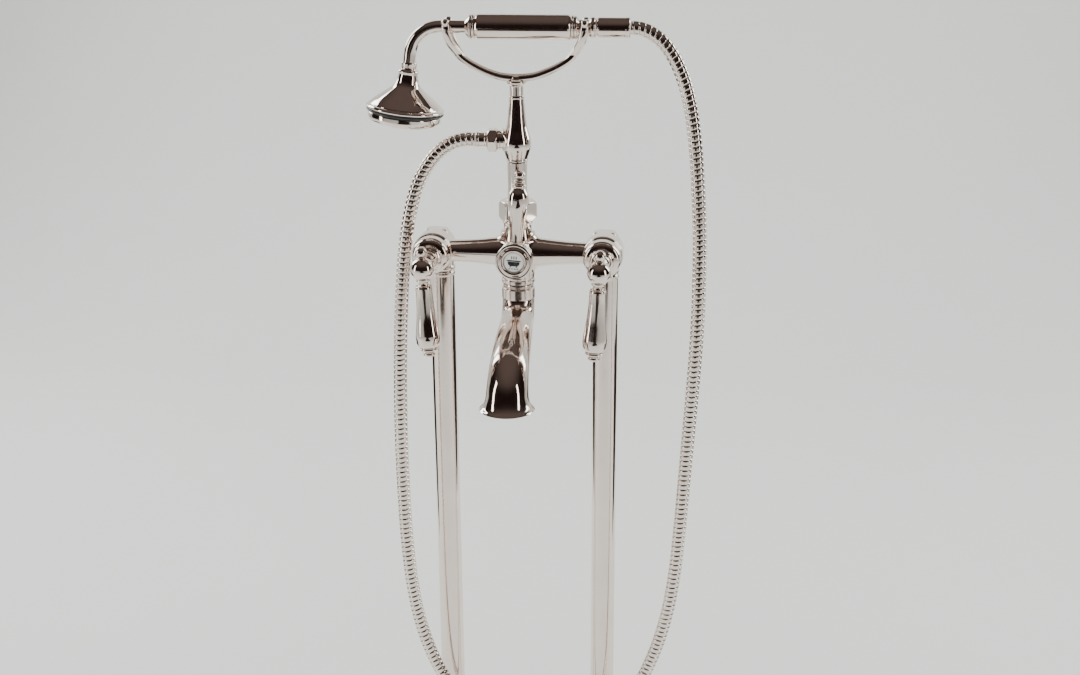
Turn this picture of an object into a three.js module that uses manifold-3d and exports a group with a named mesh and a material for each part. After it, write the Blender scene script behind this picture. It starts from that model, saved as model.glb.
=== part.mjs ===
// A floor-standing bath and shower mixer: two standpipes carry a mixer body with quarter-turn
// levers, a diverter, a spout, and a riser whose cradle holds a handset on a metal hose.
// Millimetres, +Z up. The origin is on the floor midway between the standpipes, the wall is
// towards +Y and the user stands towards -Y.
import * as THREE from "three";
import { mergeVertices } from "three/addons/utils/BufferGeometryUtils.js";
import { LoftGeometry } from "three/addons/geometries/LoftGeometry.js";
import Module from "manifold-3d";

// Overall sizes
const VALVE_SPACING = 180;
const VALVE_HEIGHT = 790;
const BODY_FORWARD = 48;
const HUB_FORWARD = 120;
const LEVER_LENGTH = 82;
const LEVER_LEAN = 3;
const DIVERTER_LEVER_LENGTH = 76;
const DIVERTER_LEAN = 4;
const RISER_TUBE_LENGTH = 50;
const TEE_LENGTH = 68;
const CRADLE_RISE = 57.8;
const CRADLE_SPAN = 140;
const GRIP_LENGTH = 97;
const HEAD_RADIUS = 40.4;

// Fits and walls
const TOUCH_GAP = 0.3;
const SLIDE_GAP = 0.5;
const TURN_GAP = 0.6;
const WALL = 3;
const THIN_WALL = 1.4;

// Pipework
const STANDPIPE_RADIUS = 13.8;
const SUPPLY_RADIUS = 7.5;
const FLANGE_RADIUS = 32.5;
const FLANGE_HEIGHT = 10;
const ELBOW_RADIUS = STANDPIPE_RADIUS - 0.6;
const ELBOW_BORE = SUPPLY_RADIUS + SLIDE_GAP + 0.5;
const ELBOW_BEND = ELBOW_RADIUS + 3.8;
const ELBOW_DROP = 34;
const WASHER_THICKNESS = 1.8;
const TAIL_RADIUS = ELBOW_RADIUS + 3;
const UNION_FLATS = 2 * TAIL_RADIUS + 4.6;
const UNION_BACK = ELBOW_BEND + 0.5;
const UNION_FRONT = 35.4;
const ELBOW_FACE = UNION_BACK + 7;

// Valves, measured forward from the standpipe axis
const CHEST_RADIUS = TAIL_RADIUS + 4.8;
const CHEST_HALF_LENGTH = 12;
const BONNET_RADIUS = 19.9;
const BONNET_FRONT = 77;
const BONNET_STEP_RADIUS = 12.2;
const BONNET_STEP_FRONT = 83;
const CARTRIDGE_RADIUS = 9.9;
const DISC_RADIUS = 8.4;
const DISC_THICKNESS = 2.8;
const DISC_SEAT = BODY_FORWARD - 6;
const SPINDLE_RADIUS = 4;
const HUB_RADIUS = 12.3;
const FINIAL_RADIUS = 6.2;
const FINIAL_RISE = 17.5;

// Mixer body
const ARM_RADIUS = 11.2;
const CENTRE_RADIUS = 17.6;
const WATERWAY_RADIUS = 6.5;
const SPIGOT_RADIUS = 12.4;
const SPIGOT_TOP = 45;
const SHOULDER_TOP = 35.5;
const SOCKET_BOTTOM = -33;
const SOCKET_DEPTH = 12;

// Diverter
const BOSS_RADIUS = 18.4;
const BOSS_FRONT = 75;
const BARREL_RADIUS = 18.8;
const BARREL_LENGTH = 10;
const BEZEL_RADIUS = 19.5;
const BEZEL_LENGTH = 5;
const PLATE_RADIUS = 10.6;
const DIVERTER_CARTRIDGE_RADIUS = 11.6;

// Spout
const SPOUT_TOP = SOCKET_BOTTOM - 4;
const SPOUT_COLLAR_RADIUS = 17.6;
const SPOUT_COLLAR_HEIGHT = 13;
const OUTLET_FORWARD = 160.5;
const OUTLET_DROP = 134;
const OUTLET_RADIUS = 28.5;
const SPOUT_THROAT_RADIUS = 22.6;

// Riser, tee and hose outlet
const RISER_NUT_FLATS = 35.2;
const RISER_NUT_HEIGHT = 20;
const RISER_RADIUS = 10.2;
const RISER_BORE = 6.8;
const TEE_RADIUS = 14.8;
const TEE_TOP_RADIUS = 7.3;
const TEE_OUTLET_RISE = 22;
const OUTLET_BOSS_RADIUS = 10.3;
const OUTLET_BOSS_REACH = 19.5;
const HOSE_NUT_FLATS = 22.6;
const HOSE_NUT_LENGTH = 10.4;
const HOSE_WASHER_BORE = 2.6;
const HOSE_FERRULE_RADIUS = 7.7;
const HOSE_FERRULE_LENGTH = 12.2;
const NIPPLE_RADIUS = 5.6;
const NIPPLE_BORE = 4.4;

// Cradle
const COLLAR_HEIGHT = 11;
const CRADLE_PIN_RADIUS = 4.6;
const BAR_THICKNESS = 6;
const BAR_WIDTH = 10;
const PRONG_THICKNESS = 5;
const PRONG_BALL_RADIUS = 4;
const SCREW_RADIUS = 1.5;
const SCREW_DROP = 5.5;

// Handset
const NECK_RADIUS = 6.4;
const NECK_BORE = 4.2;
const NECK_BEND = 32;
const HEAD_TILT = 7;
const GRIP_RADIUS = 13.1;
const GRIP_MIDDLE = 7.5;
const GRIP_FERRULE_LENGTH = 10;
const END_SPIGOT_LENGTH = 10;
const HEAD_LEAD = 11.8;
const REST_RADIUS = 8;
const END_NUT_RADIUS = 10.8;
const END_NUT_LENGTH = 34;

// Hose
const HOSE_RADIUS = 7.4;
const HOSE_BORE = 5.6;

// Facets
const ROUND = 16;
const SMALL = 12;
const HOSE_SIDES = 10;
const HOSE_STEPS = 26;

const radians = THREE.MathUtils.degToRad;
const library = await Module();
library.setup();

const nickel = () => new THREE.MeshStandardMaterial({ color: 0xd9cdc4, roughness: 0.1, metalness: 1 });
const brass = () => new THREE.MeshStandardMaterial({ color: 0xb9975b, roughness: 0.35, metalness: 1 });
const copper = () => new THREE.MeshStandardMaterial({ color: 0xb8735a, roughness: 0.4, metalness: 1 });
const rubber = () => new THREE.MeshStandardMaterial({ color: 0x1c1a19, roughness: 0.7, metalness: 0 });
const porcelain = () => new THREE.MeshStandardMaterial({ color: 0xf2efe8, roughness: 0.15, metalness: 0 });
const ceramic = () => new THREE.MeshStandardMaterial({ color: 0xe6e2da, roughness: 0.3, metalness: 0 });
const plastic = () => new THREE.MeshStandardMaterial({ color: 0xd8d6d0, roughness: 0.45, metalness: 0 });

// Solids ------------------------------------------------------------------------------------

function asSolid(geometry) {
  const bare = geometry.index ? geometry.toNonIndexed() : geometry.clone();
  bare.deleteAttribute("normal");
  bare.deleteAttribute("uv");
  const merged = mergeVertices(bare, 1e-4);
  const vertProperties = merged.attributes.position.array;
  const triVerts = new Uint32Array(merged.index.array);
  return new library.Manifold(new library.Mesh({ numProp: 3, vertProperties, triVerts }));
}

function asGeometry(solid) {
  const mesh = solid.getMesh();
  const geometry = new THREE.BufferGeometry();
  geometry.setAttribute("position", new THREE.BufferAttribute(new Float32Array(mesh.vertProperties), 3));
  geometry.setIndex(new THREE.BufferAttribute(new Uint32Array(mesh.triVerts), 1));
  geometry.computeVertexNormals();
  return geometry;
}

// Joins the pieces, then cuts every tool out of the result.
function machined(pieces, tools = []) {
  let solid = asSolid(pieces[0]);
  for (const piece of pieces.slice(1)) {
    solid = solid.add(asSolid(piece));
  }
  for (const tool of tools) {
    solid = solid.subtract(asSolid(tool));
  }
  return asGeometry(solid);
}

// Turns an outline of [radius, height] pairs round +Z. An outline that starts and ends on the
// axis makes a solid, and any other closes on itself and makes a ring.
function turned(outline, sides = ROUND) {
  const points = outline.map(([radius, height]) => new THREE.Vector2(radius, height));
  if (THREE.ShapeUtils.area(points) < 0) {
    points.reverse();
  }
  const solid = points[0].x === 0 && points[points.length - 1].x === 0;
  if (!solid) {
    points.push(points[0].clone());
  }
  return new THREE.LatheGeometry(points, sides).rotateX(Math.PI / 2);
}

function rod(radius, from, to, sides = ROUND) {
  return turned([[0, from], [radius, from], [radius, to], [0, to]], sides);
}

function ring(inner, outer, from, to, sides = ROUND) {
  return turned([[inner, from], [outer, from], [outer, to], [inner, to]], sides);
}

// A hexagonal bar along +Z with two flats facing +X and -X.
function hexagon(acrossFlats, from, to) {
  const corner = acrossFlats / Math.sqrt(3);
  return new THREE.CylinderGeometry(corner, corner, to - from, 6)
    .rotateX(Math.PI / 2)
    .translate(0, 0, (from + to) / 2);
}

function ball(radius, sides = SMALL) {
  return new THREE.SphereGeometry(radius, sides, sides / 2);
}

// Turns geometry made along +Z to point along another direction.
const downward = (geometry) => geometry.rotateX(Math.PI);
const forward = (geometry) => geometry.rotateX(Math.PI / 2);
const backward = (geometry) => geometry.rotateX(-Math.PI / 2);
const rightward = (geometry) => geometry.rotateY(Math.PI / 2);
const leftward = (geometry) => geometry.rotateY(-Math.PI / 2);

// A tube of round section along a list of points.
function tube(points, radius, bore, steps, sides, turn = 0) {
  const section = new THREE.Shape().absarc(0, 0, radius, turn, turn + 2 * Math.PI);
  section.holes.push(new THREE.Path().absarc(0, 0, bore, turn, turn + 2 * Math.PI, true));
  const extrudePath = new THREE.CatmullRomCurve3(points);
  const curveSegments = sides / 2;
  return new THREE.ExtrudeGeometry(section, { steps, curveSegments, extrudePath, bevelEnabled: false });
}

// Points on a quarter or smaller arc from angle to angle, in degrees, in the plane of two axes.
function arc(centre, across, along, radius, from, to, count) {
  return Array.from({ length: count }, (_, index) => {
    const angle = radians(from + ((to - from) * index) / (count - 1));
    return centre
      .clone()
      .addScaledVector(across, radius * Math.cos(angle))
      .addScaledVector(along, radius * Math.sin(angle));
  });
}

// Assembly ----------------------------------------------------------------------------------

const mixer = new THREE.Group();
const valveLevel = new THREE.Group();
valveLevel.position.z = VALVE_HEIGHT;
mixer.add(valveLevel);

function addPart(parent, name, geometry, material) {
  const mesh = new THREE.Mesh(geometry, material);
  mesh.name = name;
  parent.add(mesh);
  return mesh;
}

function addGroup(parent, x, y, z) {
  const group = new THREE.Group();
  group.position.set(x, y, z);
  parent.add(group);
  return group;
}

// Standpipe side: flange, shroud, supply pipe and elbow, in a frame on the standpipe axis.
function addStandpipe(side, x) {
  const floor = addGroup(mixer, x, 0, 0);
  const top = VALVE_HEIGHT - ELBOW_DROP - TOUCH_GAP;
  const flangeBore = STANDPIPE_RADIUS + SLIDE_GAP;
  const flange = turned([
    [flangeBore, 0],
    [FLANGE_RADIUS, 0],
    [FLANGE_RADIUS, 2.5],
    [FLANGE_RADIUS - 5, 5],
    [flangeBore + 5, FLANGE_HEIGHT - 2],
    [flangeBore + 3, FLANGE_HEIGHT],
    [flangeBore, FLANGE_HEIGHT],
  ]);
  addPart(floor, `${side}_floor_flange`, flange, nickel());
  const shroud = ring(STANDPIPE_RADIUS - THIN_WALL, STANDPIPE_RADIUS, TOUCH_GAP, top);
  addPart(floor, `${side}_standpipe`, shroud, nickel());
  const supply = ring(SUPPLY_RADIUS - 1, SUPPLY_RADIUS, TOUCH_GAP, VALVE_HEIGHT - ELBOW_BEND - 4, SMALL);
  addPart(floor, `${side}_supply_pipe`, supply, copper());
}

function addElbow(side, frame) {
  const centre = new THREE.Vector3(0, -ELBOW_BEND, -ELBOW_BEND);
  const back = new THREE.Vector3(0, 1, 0);
  const up = new THREE.Vector3(0, 0, 1);
  const route = [
    new THREE.Vector3(0, 0, -ELBOW_DROP),
    new THREE.Vector3(0, 0, -ELBOW_BEND - 8),
    ...arc(centre, back, up, ELBOW_BEND, 0, 90, 7),
    new THREE.Vector3(0, -ELBOW_FACE, 0),
  ];
  const pipe = tube(route, ELBOW_RADIUS, ELBOW_BORE, 9, SMALL);
  const collarBack = UNION_BACK + WALL + TOUCH_GAP;
  const collar = forward(ring(ELBOW_BORE, TAIL_RADIUS - 0.8, collarBack, ELBOW_FACE, SMALL));
  addPart(frame, `${side}_elbow`, machined([pipe, collar]), nickel());
}

function addUnion(side, frame) {
  const washerBack = ELBOW_FACE + TOUCH_GAP;
  const washerFront = washerBack + WASHER_THICKNESS;
  const washer = forward(ring(ELBOW_BORE + 1, TAIL_RADIUS - 1, washerBack, washerFront, SMALL));
  addPart(frame, `${side}_union_washer`, washer, rubber());
  const hex = hexagon(UNION_FLATS, UNION_BACK, UNION_FRONT).rotateZ(Math.PI / 6);
  const lip = rod(ELBOW_RADIUS + SLIDE_GAP, UNION_BACK - 1, UNION_BACK + WALL + 1);
  const thread = rod(TAIL_RADIUS + SLIDE_GAP, UNION_BACK + WALL, UNION_FRONT + 1);
  addPart(frame, `${side}_union_nut`, forward(machined([hex], [lip, thread])), nickel());
}

// The ceramic valve behind one lever, from the fixed disc out to the spindle.
function addValve(side, frame, turning) {
  const fixedFront = DISC_SEAT + DISC_THICKNESS;
  const movingBack = fixedFront + TOUCH_GAP;
  const movingFront = movingBack + DISC_THICKNESS;
  const spindleBack = movingFront + TOUCH_GAP;
  const spindleFlange = spindleBack + 3;
  const port = (depth) => rod(2.4, depth - 1, depth + DISC_THICKNESS + 1, SMALL).translate(0, 4.4, 0);
  const fixedDisc = machined([rod(DISC_RADIUS, DISC_SEAT, fixedFront, SMALL)], [port(DISC_SEAT)]);
  addPart(frame, `${side}_ceramic_disc_fixed`, forward(fixedDisc), ceramic());
  const movingDisc = machined([rod(DISC_RADIUS, movingBack, movingFront, SMALL)], [port(movingBack)]);
  addPart(turning, `${side}_ceramic_disc_moving`, forward(movingDisc), ceramic());

  const cartridgeBack = DISC_SEAT;
  const shell = turned([
    [DISC_RADIUS + TURN_GAP, cartridgeBack],
    [CARTRIDGE_RADIUS, cartridgeBack],
    [CARTRIDGE_RADIUS, BONNET_FRONT],
    [SPINDLE_RADIUS + TURN_GAP, BONNET_FRONT],
    [SPINDLE_RADIUS + TURN_GAP, spindleFlange + TURN_GAP],
    [DISC_RADIUS + TURN_GAP, spindleFlange + TURN_GAP],
  ], SMALL);
  addPart(frame, `${side}_cartridge`, forward(shell), brass());

  const spindle = turned([
    [0, spindleBack],
    [DISC_RADIUS - 0.6, spindleBack],
    [DISC_RADIUS - 0.6, spindleFlange],
    [SPINDLE_RADIUS, spindleFlange],
    [SPINDLE_RADIUS, HUB_FORWARD - 8],
    [0, HUB_FORWARD - 8],
  ], SMALL);
  addPart(turning, `${side}_spindle`, forward(spindle), brass());

  const bonnetBack = BODY_FORWARD + CHEST_HALF_LENGTH + TOUCH_GAP;
  const bonnetBore = CARTRIDGE_RADIUS + SLIDE_GAP;
  const bonnet = turned([
    [bonnetBore, bonnetBack],
    [BONNET_RADIUS - 1, bonnetBack],
    [BONNET_RADIUS - 1, bonnetBack + 2],
    [BONNET_RADIUS, bonnetBack + 3],
    [BONNET_RADIUS, BONNET_FRONT - 1.5],
    [BONNET_RADIUS - 2.5, BONNET_FRONT],
    [BONNET_STEP_RADIUS, BONNET_FRONT + 1.5],
    [BONNET_STEP_RADIUS, BONNET_STEP_FRONT - 1],
    [BONNET_STEP_RADIUS - 1.5, BONNET_STEP_FRONT],
    [SPINDLE_RADIUS + TURN_GAP, BONNET_STEP_FRONT],
    [SPINDLE_RADIUS + TURN_GAP, BONNET_FRONT + TOUCH_GAP],
    [bonnetBore, BONNET_FRONT + TOUCH_GAP],
  ]);
  addPart(frame, `${side}_valve_bonnet`, forward(bonnet), nickel());
}

function leverOutline() {
  const tip = HUB_RADIUS + LEVER_LENGTH;
  return [
    [0, HUB_RADIUS - 0.8],
    [6, HUB_RADIUS - 0.8],
    [5.2, HUB_RADIUS + 3],
    [7.6, HUB_RADIUS + 6],
    [8.2, HUB_RADIUS + 9],
    [9, HUB_RADIUS + 25],
    [11.2, HUB_RADIUS + 46],
    [12.9, HUB_RADIUS + 62],
    [12.4, HUB_RADIUS + 67],
    [8.6, tip - 11],
    [8.8, tip - 9],
    [4.2, tip - 7.5],
    [6, tip - 4.5],
    [5.4, tip - 2],
    [3, tip],
    [0, tip],
  ];
}

function addLever(side, turning) {
  const back = BONNET_STEP_FRONT + TURN_GAP;
  const neck = turned([
    [0, back],
    [8.6, back],
    [9.2, back + 3],
    [6.6, back + 7],
    [6.2, HUB_FORWARD - HUB_RADIUS - 3],
    [8.4, HUB_FORWARD - HUB_RADIUS + 3],
    [0, HUB_FORWARD],
  ]);
  const head = new THREE.SphereGeometry(HUB_RADIUS, ROUND, ROUND / 2).translate(0, 0, HUB_FORWARD);
  const finialNeck = rod(3.4, HUB_RADIUS - 2, FINIAL_RISE, SMALL);
  const finial = forward(finialNeck).rotateX(Math.PI).translate(0, 0, HUB_FORWARD);
  const finialBall = ball(FINIAL_RADIUS).translate(0, FINIAL_RISE, HUB_FORWARD);
  const socket = rod(SPINDLE_RADIUS + TOUCH_GAP, back - 1, HUB_FORWARD - 8 + TOUCH_GAP, SMALL);
  const seat = rod(6.4, HUB_RADIUS - 1.1, HUB_RADIUS + 4, SMALL);
  const leverSeat = forward(seat).translate(0, 0, HUB_FORWARD);
  const hub = machined([neck, head, finial, finialBall], [socket, leverSeat]);
  addPart(turning, `${side}_lever_hub`, forward(hub), nickel());
  const arm = turned(leverOutline(), ROUND);
  const mesh = addPart(turning, `${side}_lever_arm`, downward(arm), nickel());
  mesh.position.y = -HUB_FORWARD;
}

for (const [side, direction] of [["left", -1], ["right", 1]]) {
  const x = (direction * VALVE_SPACING) / 2;
  addStandpipe(side, x);
  const frame = addGroup(valveLevel, x, 0, 0);
  addElbow(side, frame);
  addUnion(side, frame);
  const turning = addGroup(frame, 0, 0, 0);
  turning.rotation.y = radians(direction * LEVER_LEAN);
  addValve(side, frame, turning);
  addLever(side, turning);
}

// Mixer body --------------------------------------------------------------------------------

const centre = addGroup(valveLevel, 0, -BODY_FORWARD, 0);
const reach = VALVE_SPACING / 2;

function bodyArm() {
  const root = CENTRE_RADIUS - 1.2;
  return turned([
    [0, 0],
    [root, 0],
    [root, CENTRE_RADIUS + 1],
    [ARM_RADIUS + 2.4, CENTRE_RADIUS + 17],
    [ARM_RADIUS, reach - CHEST_RADIUS - 2],
    [ARM_RADIUS, reach - 8],
    [0, reach - 8],
  ]);
}

function bodyCentre() {
  return turned([
    [0, SOCKET_BOTTOM],
    [CENTRE_RADIUS, SOCKET_BOTTOM],
    [CENTRE_RADIUS, 16],
    [CENTRE_RADIUS - 2.4, 22],
    [CENTRE_RADIUS - 3.2, 29],
    [CENTRE_RADIUS - 1.8, SHOULDER_TOP],
    [SPIGOT_RADIUS, SHOULDER_TOP],
    [SPIGOT_RADIUS, SPIGOT_TOP],
    [0, SPIGOT_TOP],
  ]);
}

function chest(x) {
  const chestBack = -CHEST_HALF_LENGTH;
  const tailBack = ELBOW_FACE + WASHER_THICKNESS + 2 * TOUCH_GAP - BODY_FORWARD;
  const outline = [
    [0, tailBack],
    [TAIL_RADIUS, tailBack],
    [TAIL_RADIUS, chestBack],
    [CHEST_RADIUS - 1, chestBack],
    [CHEST_RADIUS, chestBack + 2],
    [CHEST_RADIUS, CHEST_HALF_LENGTH - 2],
    [CHEST_RADIUS - 1, CHEST_HALF_LENGTH],
    [0, CHEST_HALF_LENGTH],
  ];
  return forward(turned(outline)).translate(x, 0, 0);
}

function addMixerBody() {
  const bossFront = BOSS_FRONT - BODY_FORWARD;
  const bossOutline = [
    [0, 0],
    [CENTRE_RADIUS - 1, 0],
    [BOSS_RADIUS, 16],
    [BOSS_RADIUS, bossFront],
    [0, bossFront],
  ];
  const boss = forward(turned(bossOutline));
  const arms = [rightward(bodyArm()), leftward(bodyArm())];
  const pieces = [bodyCentre(), ...arms, boss, chest(-reach), chest(reach)];
  const discSeat = DISC_SEAT - BODY_FORWARD - TOUCH_GAP;
  const valveBores = [-reach, reach].flatMap((x) => [
    forward(rod(CARTRIDGE_RADIUS + SLIDE_GAP, discSeat, CHEST_HALF_LENGTH + 1, SMALL)).translate(x, 0, 0),
    forward(rod(WATERWAY_RADIUS, -BODY_FORWARD, discSeat + 1, SMALL)).translate(x, 0, 0),
  ]);
  const crosswayEnd = reach - CARTRIDGE_RADIUS;
  const crossway = rightward(rod(WATERWAY_RADIUS, -crosswayEnd, crosswayEnd, SMALL));
  const upway = rod(RISER_BORE, 0, SPIGOT_TOP + 1, SMALL);
  const downway = rod(SPIGOT_RADIUS + SLIDE_GAP, SOCKET_BOTTOM - 1, SOCKET_BOTTOM + SOCKET_DEPTH, SMALL);
  const spoutway = rod(RISER_BORE, SOCKET_BOTTOM, 0, SMALL);
  const diverterBore = forward(rod(DIVERTER_CARTRIDGE_RADIUS + SLIDE_GAP, -12, bossFront + 1));
  const tools = [...valveBores, crossway, upway, downway, spoutway, diverterBore];
  addPart(centre, "mixer_body", machined(pieces, tools), nickel());
}

addMixerBody();

// Diverter ----------------------------------------------------------------------------------

function addDiverter() {
  const bodyFront = BOSS_FRONT - BODY_FORWARD;
  const cartridgeBack = -11;
  const cartridgeFront = bodyFront - 1;
  const shaftBack = 4;
  const cartridge = turned([
    [WATERWAY_RADIUS, cartridgeBack],
    [DIVERTER_CARTRIDGE_RADIUS, cartridgeBack],
    [DIVERTER_CARTRIDGE_RADIUS, cartridgeFront],
    [SPINDLE_RADIUS + TURN_GAP, cartridgeFront],
    [SPINDLE_RADIUS + TURN_GAP, shaftBack + 3 + TURN_GAP],
    [DISC_RADIUS + TURN_GAP, shaftBack + 3 + TURN_GAP],
    [DISC_RADIUS + TURN_GAP, shaftBack - TOUCH_GAP],
    [WATERWAY_RADIUS, shaftBack - TOUCH_GAP],
  ], SMALL);
  addPart(centre, "diverter_cartridge", forward(cartridge), brass());

  const turning = addGroup(centre, 0, 0, 0);
  turning.rotation.y = radians(DIVERTER_LEAN);
  const barrelBack = bodyFront + TURN_GAP;
  const barrelFront = barrelBack + BARREL_LENGTH;
  const spindleFront = barrelFront - WALL - TOUCH_GAP;
  const spindle = turned([
    [0, shaftBack],
    [DISC_RADIUS - 0.6, shaftBack],
    [DISC_RADIUS - 0.6, shaftBack + 3],
    [SPINDLE_RADIUS, shaftBack + 3],
    [SPINDLE_RADIUS, spindleFront],
    [0, spindleFront],
  ], SMALL);
  addPart(turning, "diverter_spindle", forward(spindle), brass());

  const barrelBody = rod(BARREL_RADIUS, barrelBack, barrelFront);
  const socket = rod(SPINDLE_RADIUS + TOUCH_GAP, barrelBack - 1, spindleFront + TOUCH_GAP, SMALL);
  const middle = (barrelBack + barrelFront) / 2;
  const leverHole = rod(3, BARREL_RADIUS - 6, BARREL_RADIUS + 4, SMALL);
  const leverSocket = forward(leverHole).rotateX(Math.PI).translate(0, 0, middle);
  addPart(turning, "diverter_barrel", forward(machined([barrelBody], [socket, leverSocket])), nickel());

  const bezelBack = barrelFront + TOUCH_GAP;
  const bezelFront = bezelBack + BEZEL_LENGTH;
  const plateBore = PLATE_RADIUS + TOUCH_GAP;
  const bezel = turned([
    [plateBore, bezelBack],
    [BEZEL_RADIUS - 0.5, bezelBack],
    [BEZEL_RADIUS, bezelBack + 1.2],
    [BEZEL_RADIUS - 1.2, bezelBack + 2.6],
    [PLATE_RADIUS + 4.4, bezelFront - 1.2],
    [PLATE_RADIUS + 3, bezelFront],
    [PLATE_RADIUS + 1.4, bezelFront],
    [plateBore, bezelFront - 0.8],
  ]);
  addPart(turning, "diverter_bezel", forward(bezel), nickel());
  const plate = turned([
    [0, bezelBack],
    [PLATE_RADIUS, bezelBack],
    [PLATE_RADIUS, bezelFront - 1.8],
    [PLATE_RADIUS - 1.6, bezelFront - 1],
    [0, bezelFront - 0.6],
  ]);
  addPart(turning, "diverter_plate", forward(plate), porcelain());

  const foot = BARREL_RADIUS + TOUCH_GAP;
  const tip = foot + DIVERTER_LEVER_LENGTH;
  const lever = turned([
    [0, foot - 5],
    [2.7, foot - 5],
    [2.7, foot],
    [4.4, foot + 0.6],
    [4.8, foot + 2.4],
    [3.6, foot + 4],
    [7.4, foot + 12],
    [9.4, foot + 27],
    [11, foot + 41],
    [10.6, foot + 50],
    [6.6, foot + 59],
    [6.9, foot + 61],
    [4.2, foot + 63],
    [5.4, foot + 65],
    [3.2, foot + 67],
    [5.7, tip - 5],
    [4.6, tip - 1.6],
    [0, tip],
  ]);
  const mesh = addPart(turning, "diverter_lever", lever, nickel());
  mesh.position.y = -middle;
}

addDiverter();

// Spout -------------------------------------------------------------------------------------

// Stations along the spout: forward of the standpipes, height, radius, and the tilt of the
// section from level in degrees.
const SPOUT_ROOT = SPOUT_TOP - SPOUT_COLLAR_HEIGHT;
const SPOUT_STATIONS = [
  [BODY_FORWARD, SPOUT_ROOT, SPOUT_COLLAR_RADIUS - 0.6, 0],
  [BODY_FORWARD + 2, SPOUT_ROOT - 9, 17.2, 22],
  [BODY_FORWARD + 14, SPOUT_ROOT - 20, 17.8, 58],
  [BODY_FORWARD + 37, SPOUT_ROOT - 29, 18.9, 70],
  [BODY_FORWARD + 64, SPOUT_ROOT - 38, 19.9, 68],
  [OUTLET_FORWARD - 23.5, -OUTLET_DROP + 36, 20.7, 52],
  [OUTLET_FORWARD - 8.5, -OUTLET_DROP + 23, 21.2, 24],
  [OUTLET_FORWARD - 2.5, -OUTLET_DROP + 11, SPOUT_THROAT_RADIUS, 4],
  [OUTLET_FORWARD - 0.5, -OUTLET_DROP + 4, 25.5, 0],
  [OUTLET_FORWARD, -OUTLET_DROP, OUTLET_RADIUS, 0],
];

function spoutRing([ahead, height, , tilt], radius) {
  const lean = radians(tilt);
  return Array.from({ length: ROUND }, (_, index) => {
    const angle = (2 * Math.PI * index) / ROUND;
    const inPlane = radius * Math.cos(angle);
    const y = -(ahead + inPlane * Math.cos(lean));
    return new THREE.Vector3(-radius * Math.sin(angle), y, height + inPlane * Math.sin(lean));
  });
}

function addSpout() {
  const frame = addGroup(valveLevel, 0, 0, 0);
  const outside = SPOUT_STATIONS.map((station) => spoutRing(station, station[2]));
  const inside = SPOUT_STATIONS.map((station) => spoutRing(station, station[2] - WALL)).reverse();
  const skin = new LoftGeometry([...outside, ...inside, outside[0]]);
  const shankTop = SOCKET_BOTTOM + 10;
  const shankBottom = SPOUT_ROOT - 3;
  const shank = turned([
    [WATERWAY_RADIUS, shankBottom],
    [SPOUT_COLLAR_RADIUS - 1.2, shankBottom],
    [SPOUT_COLLAR_RADIUS - 1.2, SPOUT_ROOT - TOUCH_GAP],
    [SPIGOT_RADIUS - 1, SPOUT_ROOT],
    [SPIGOT_RADIUS - 1, shankTop],
    [WATERWAY_RADIUS, shankTop],
  ]).translate(0, -BODY_FORWARD, 0);
  addPart(frame, "spout", machined([skin, shank]), nickel());

  const collarBottom = SPOUT_ROOT + TOUCH_GAP;
  const collarBore = SPIGOT_RADIUS - 1 + SLIDE_GAP;
  const collar = turned([
    [collarBore, collarBottom],
    [SPOUT_COLLAR_RADIUS, collarBottom],
    [SPOUT_COLLAR_RADIUS, SPOUT_TOP - 1],
    [SPOUT_COLLAR_RADIUS - 1.4, SPOUT_TOP],
    [SPOUT_COLLAR_RADIUS - 1.4, SOCKET_BOTTOM - TOUCH_GAP],
    [collarBore, SOCKET_BOTTOM - TOUCH_GAP],
  ]);
  addPart(centre, "spout_collar", collar, nickel());
  const sealTop = SOCKET_BOTTOM + SOCKET_DEPTH - TOUCH_GAP;
  const seal = ring(RISER_BORE + 1, SPIGOT_RADIUS, shankTop + TOUCH_GAP, sealTop, SMALL);
  addPart(centre, "spout_seal", seal, rubber());

  const cell = SPOUT_THROAT_RADIUS - WALL - 1.2;
  const frameRing = ring(cell - 2, cell, 0, 5, SMALL);
  const webs = [0, 1, 2].map((index) =>
    new THREE.BoxGeometry(2 * cell - 2, 1.2, 4).translate(0, 0, 2.5).rotateZ((index * Math.PI) / 3),
  );
  const straightener = addPart(frame, "flow_straightener", machined([frameRing, ...webs]), plastic());
  straightener.position.set(0, -OUTLET_FORWARD + 2.2, -OUTLET_DROP + 8);
}

addSpout();

// Riser, tee and hose outlet ----------------------------------------------------------------

const WASHER_BOTTOM = SPIGOT_TOP + TOUCH_GAP;
const RISER_FLANGE = WASHER_BOTTOM + WASHER_THICKNESS + TOUCH_GAP;
const RISER_NUT_BOTTOM = SHOULDER_TOP + TOUCH_GAP;
const RISER_NUT_TOP = RISER_NUT_BOTTOM + RISER_NUT_HEIGHT;
const TEE_BOTTOM = RISER_FLANGE + RISER_TUBE_LENGTH;
const TEE_TOP = TEE_BOTTOM + TEE_LENGTH;
const OUTLET_HEIGHT = TEE_BOTTOM + TEE_OUTLET_RISE;

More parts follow.
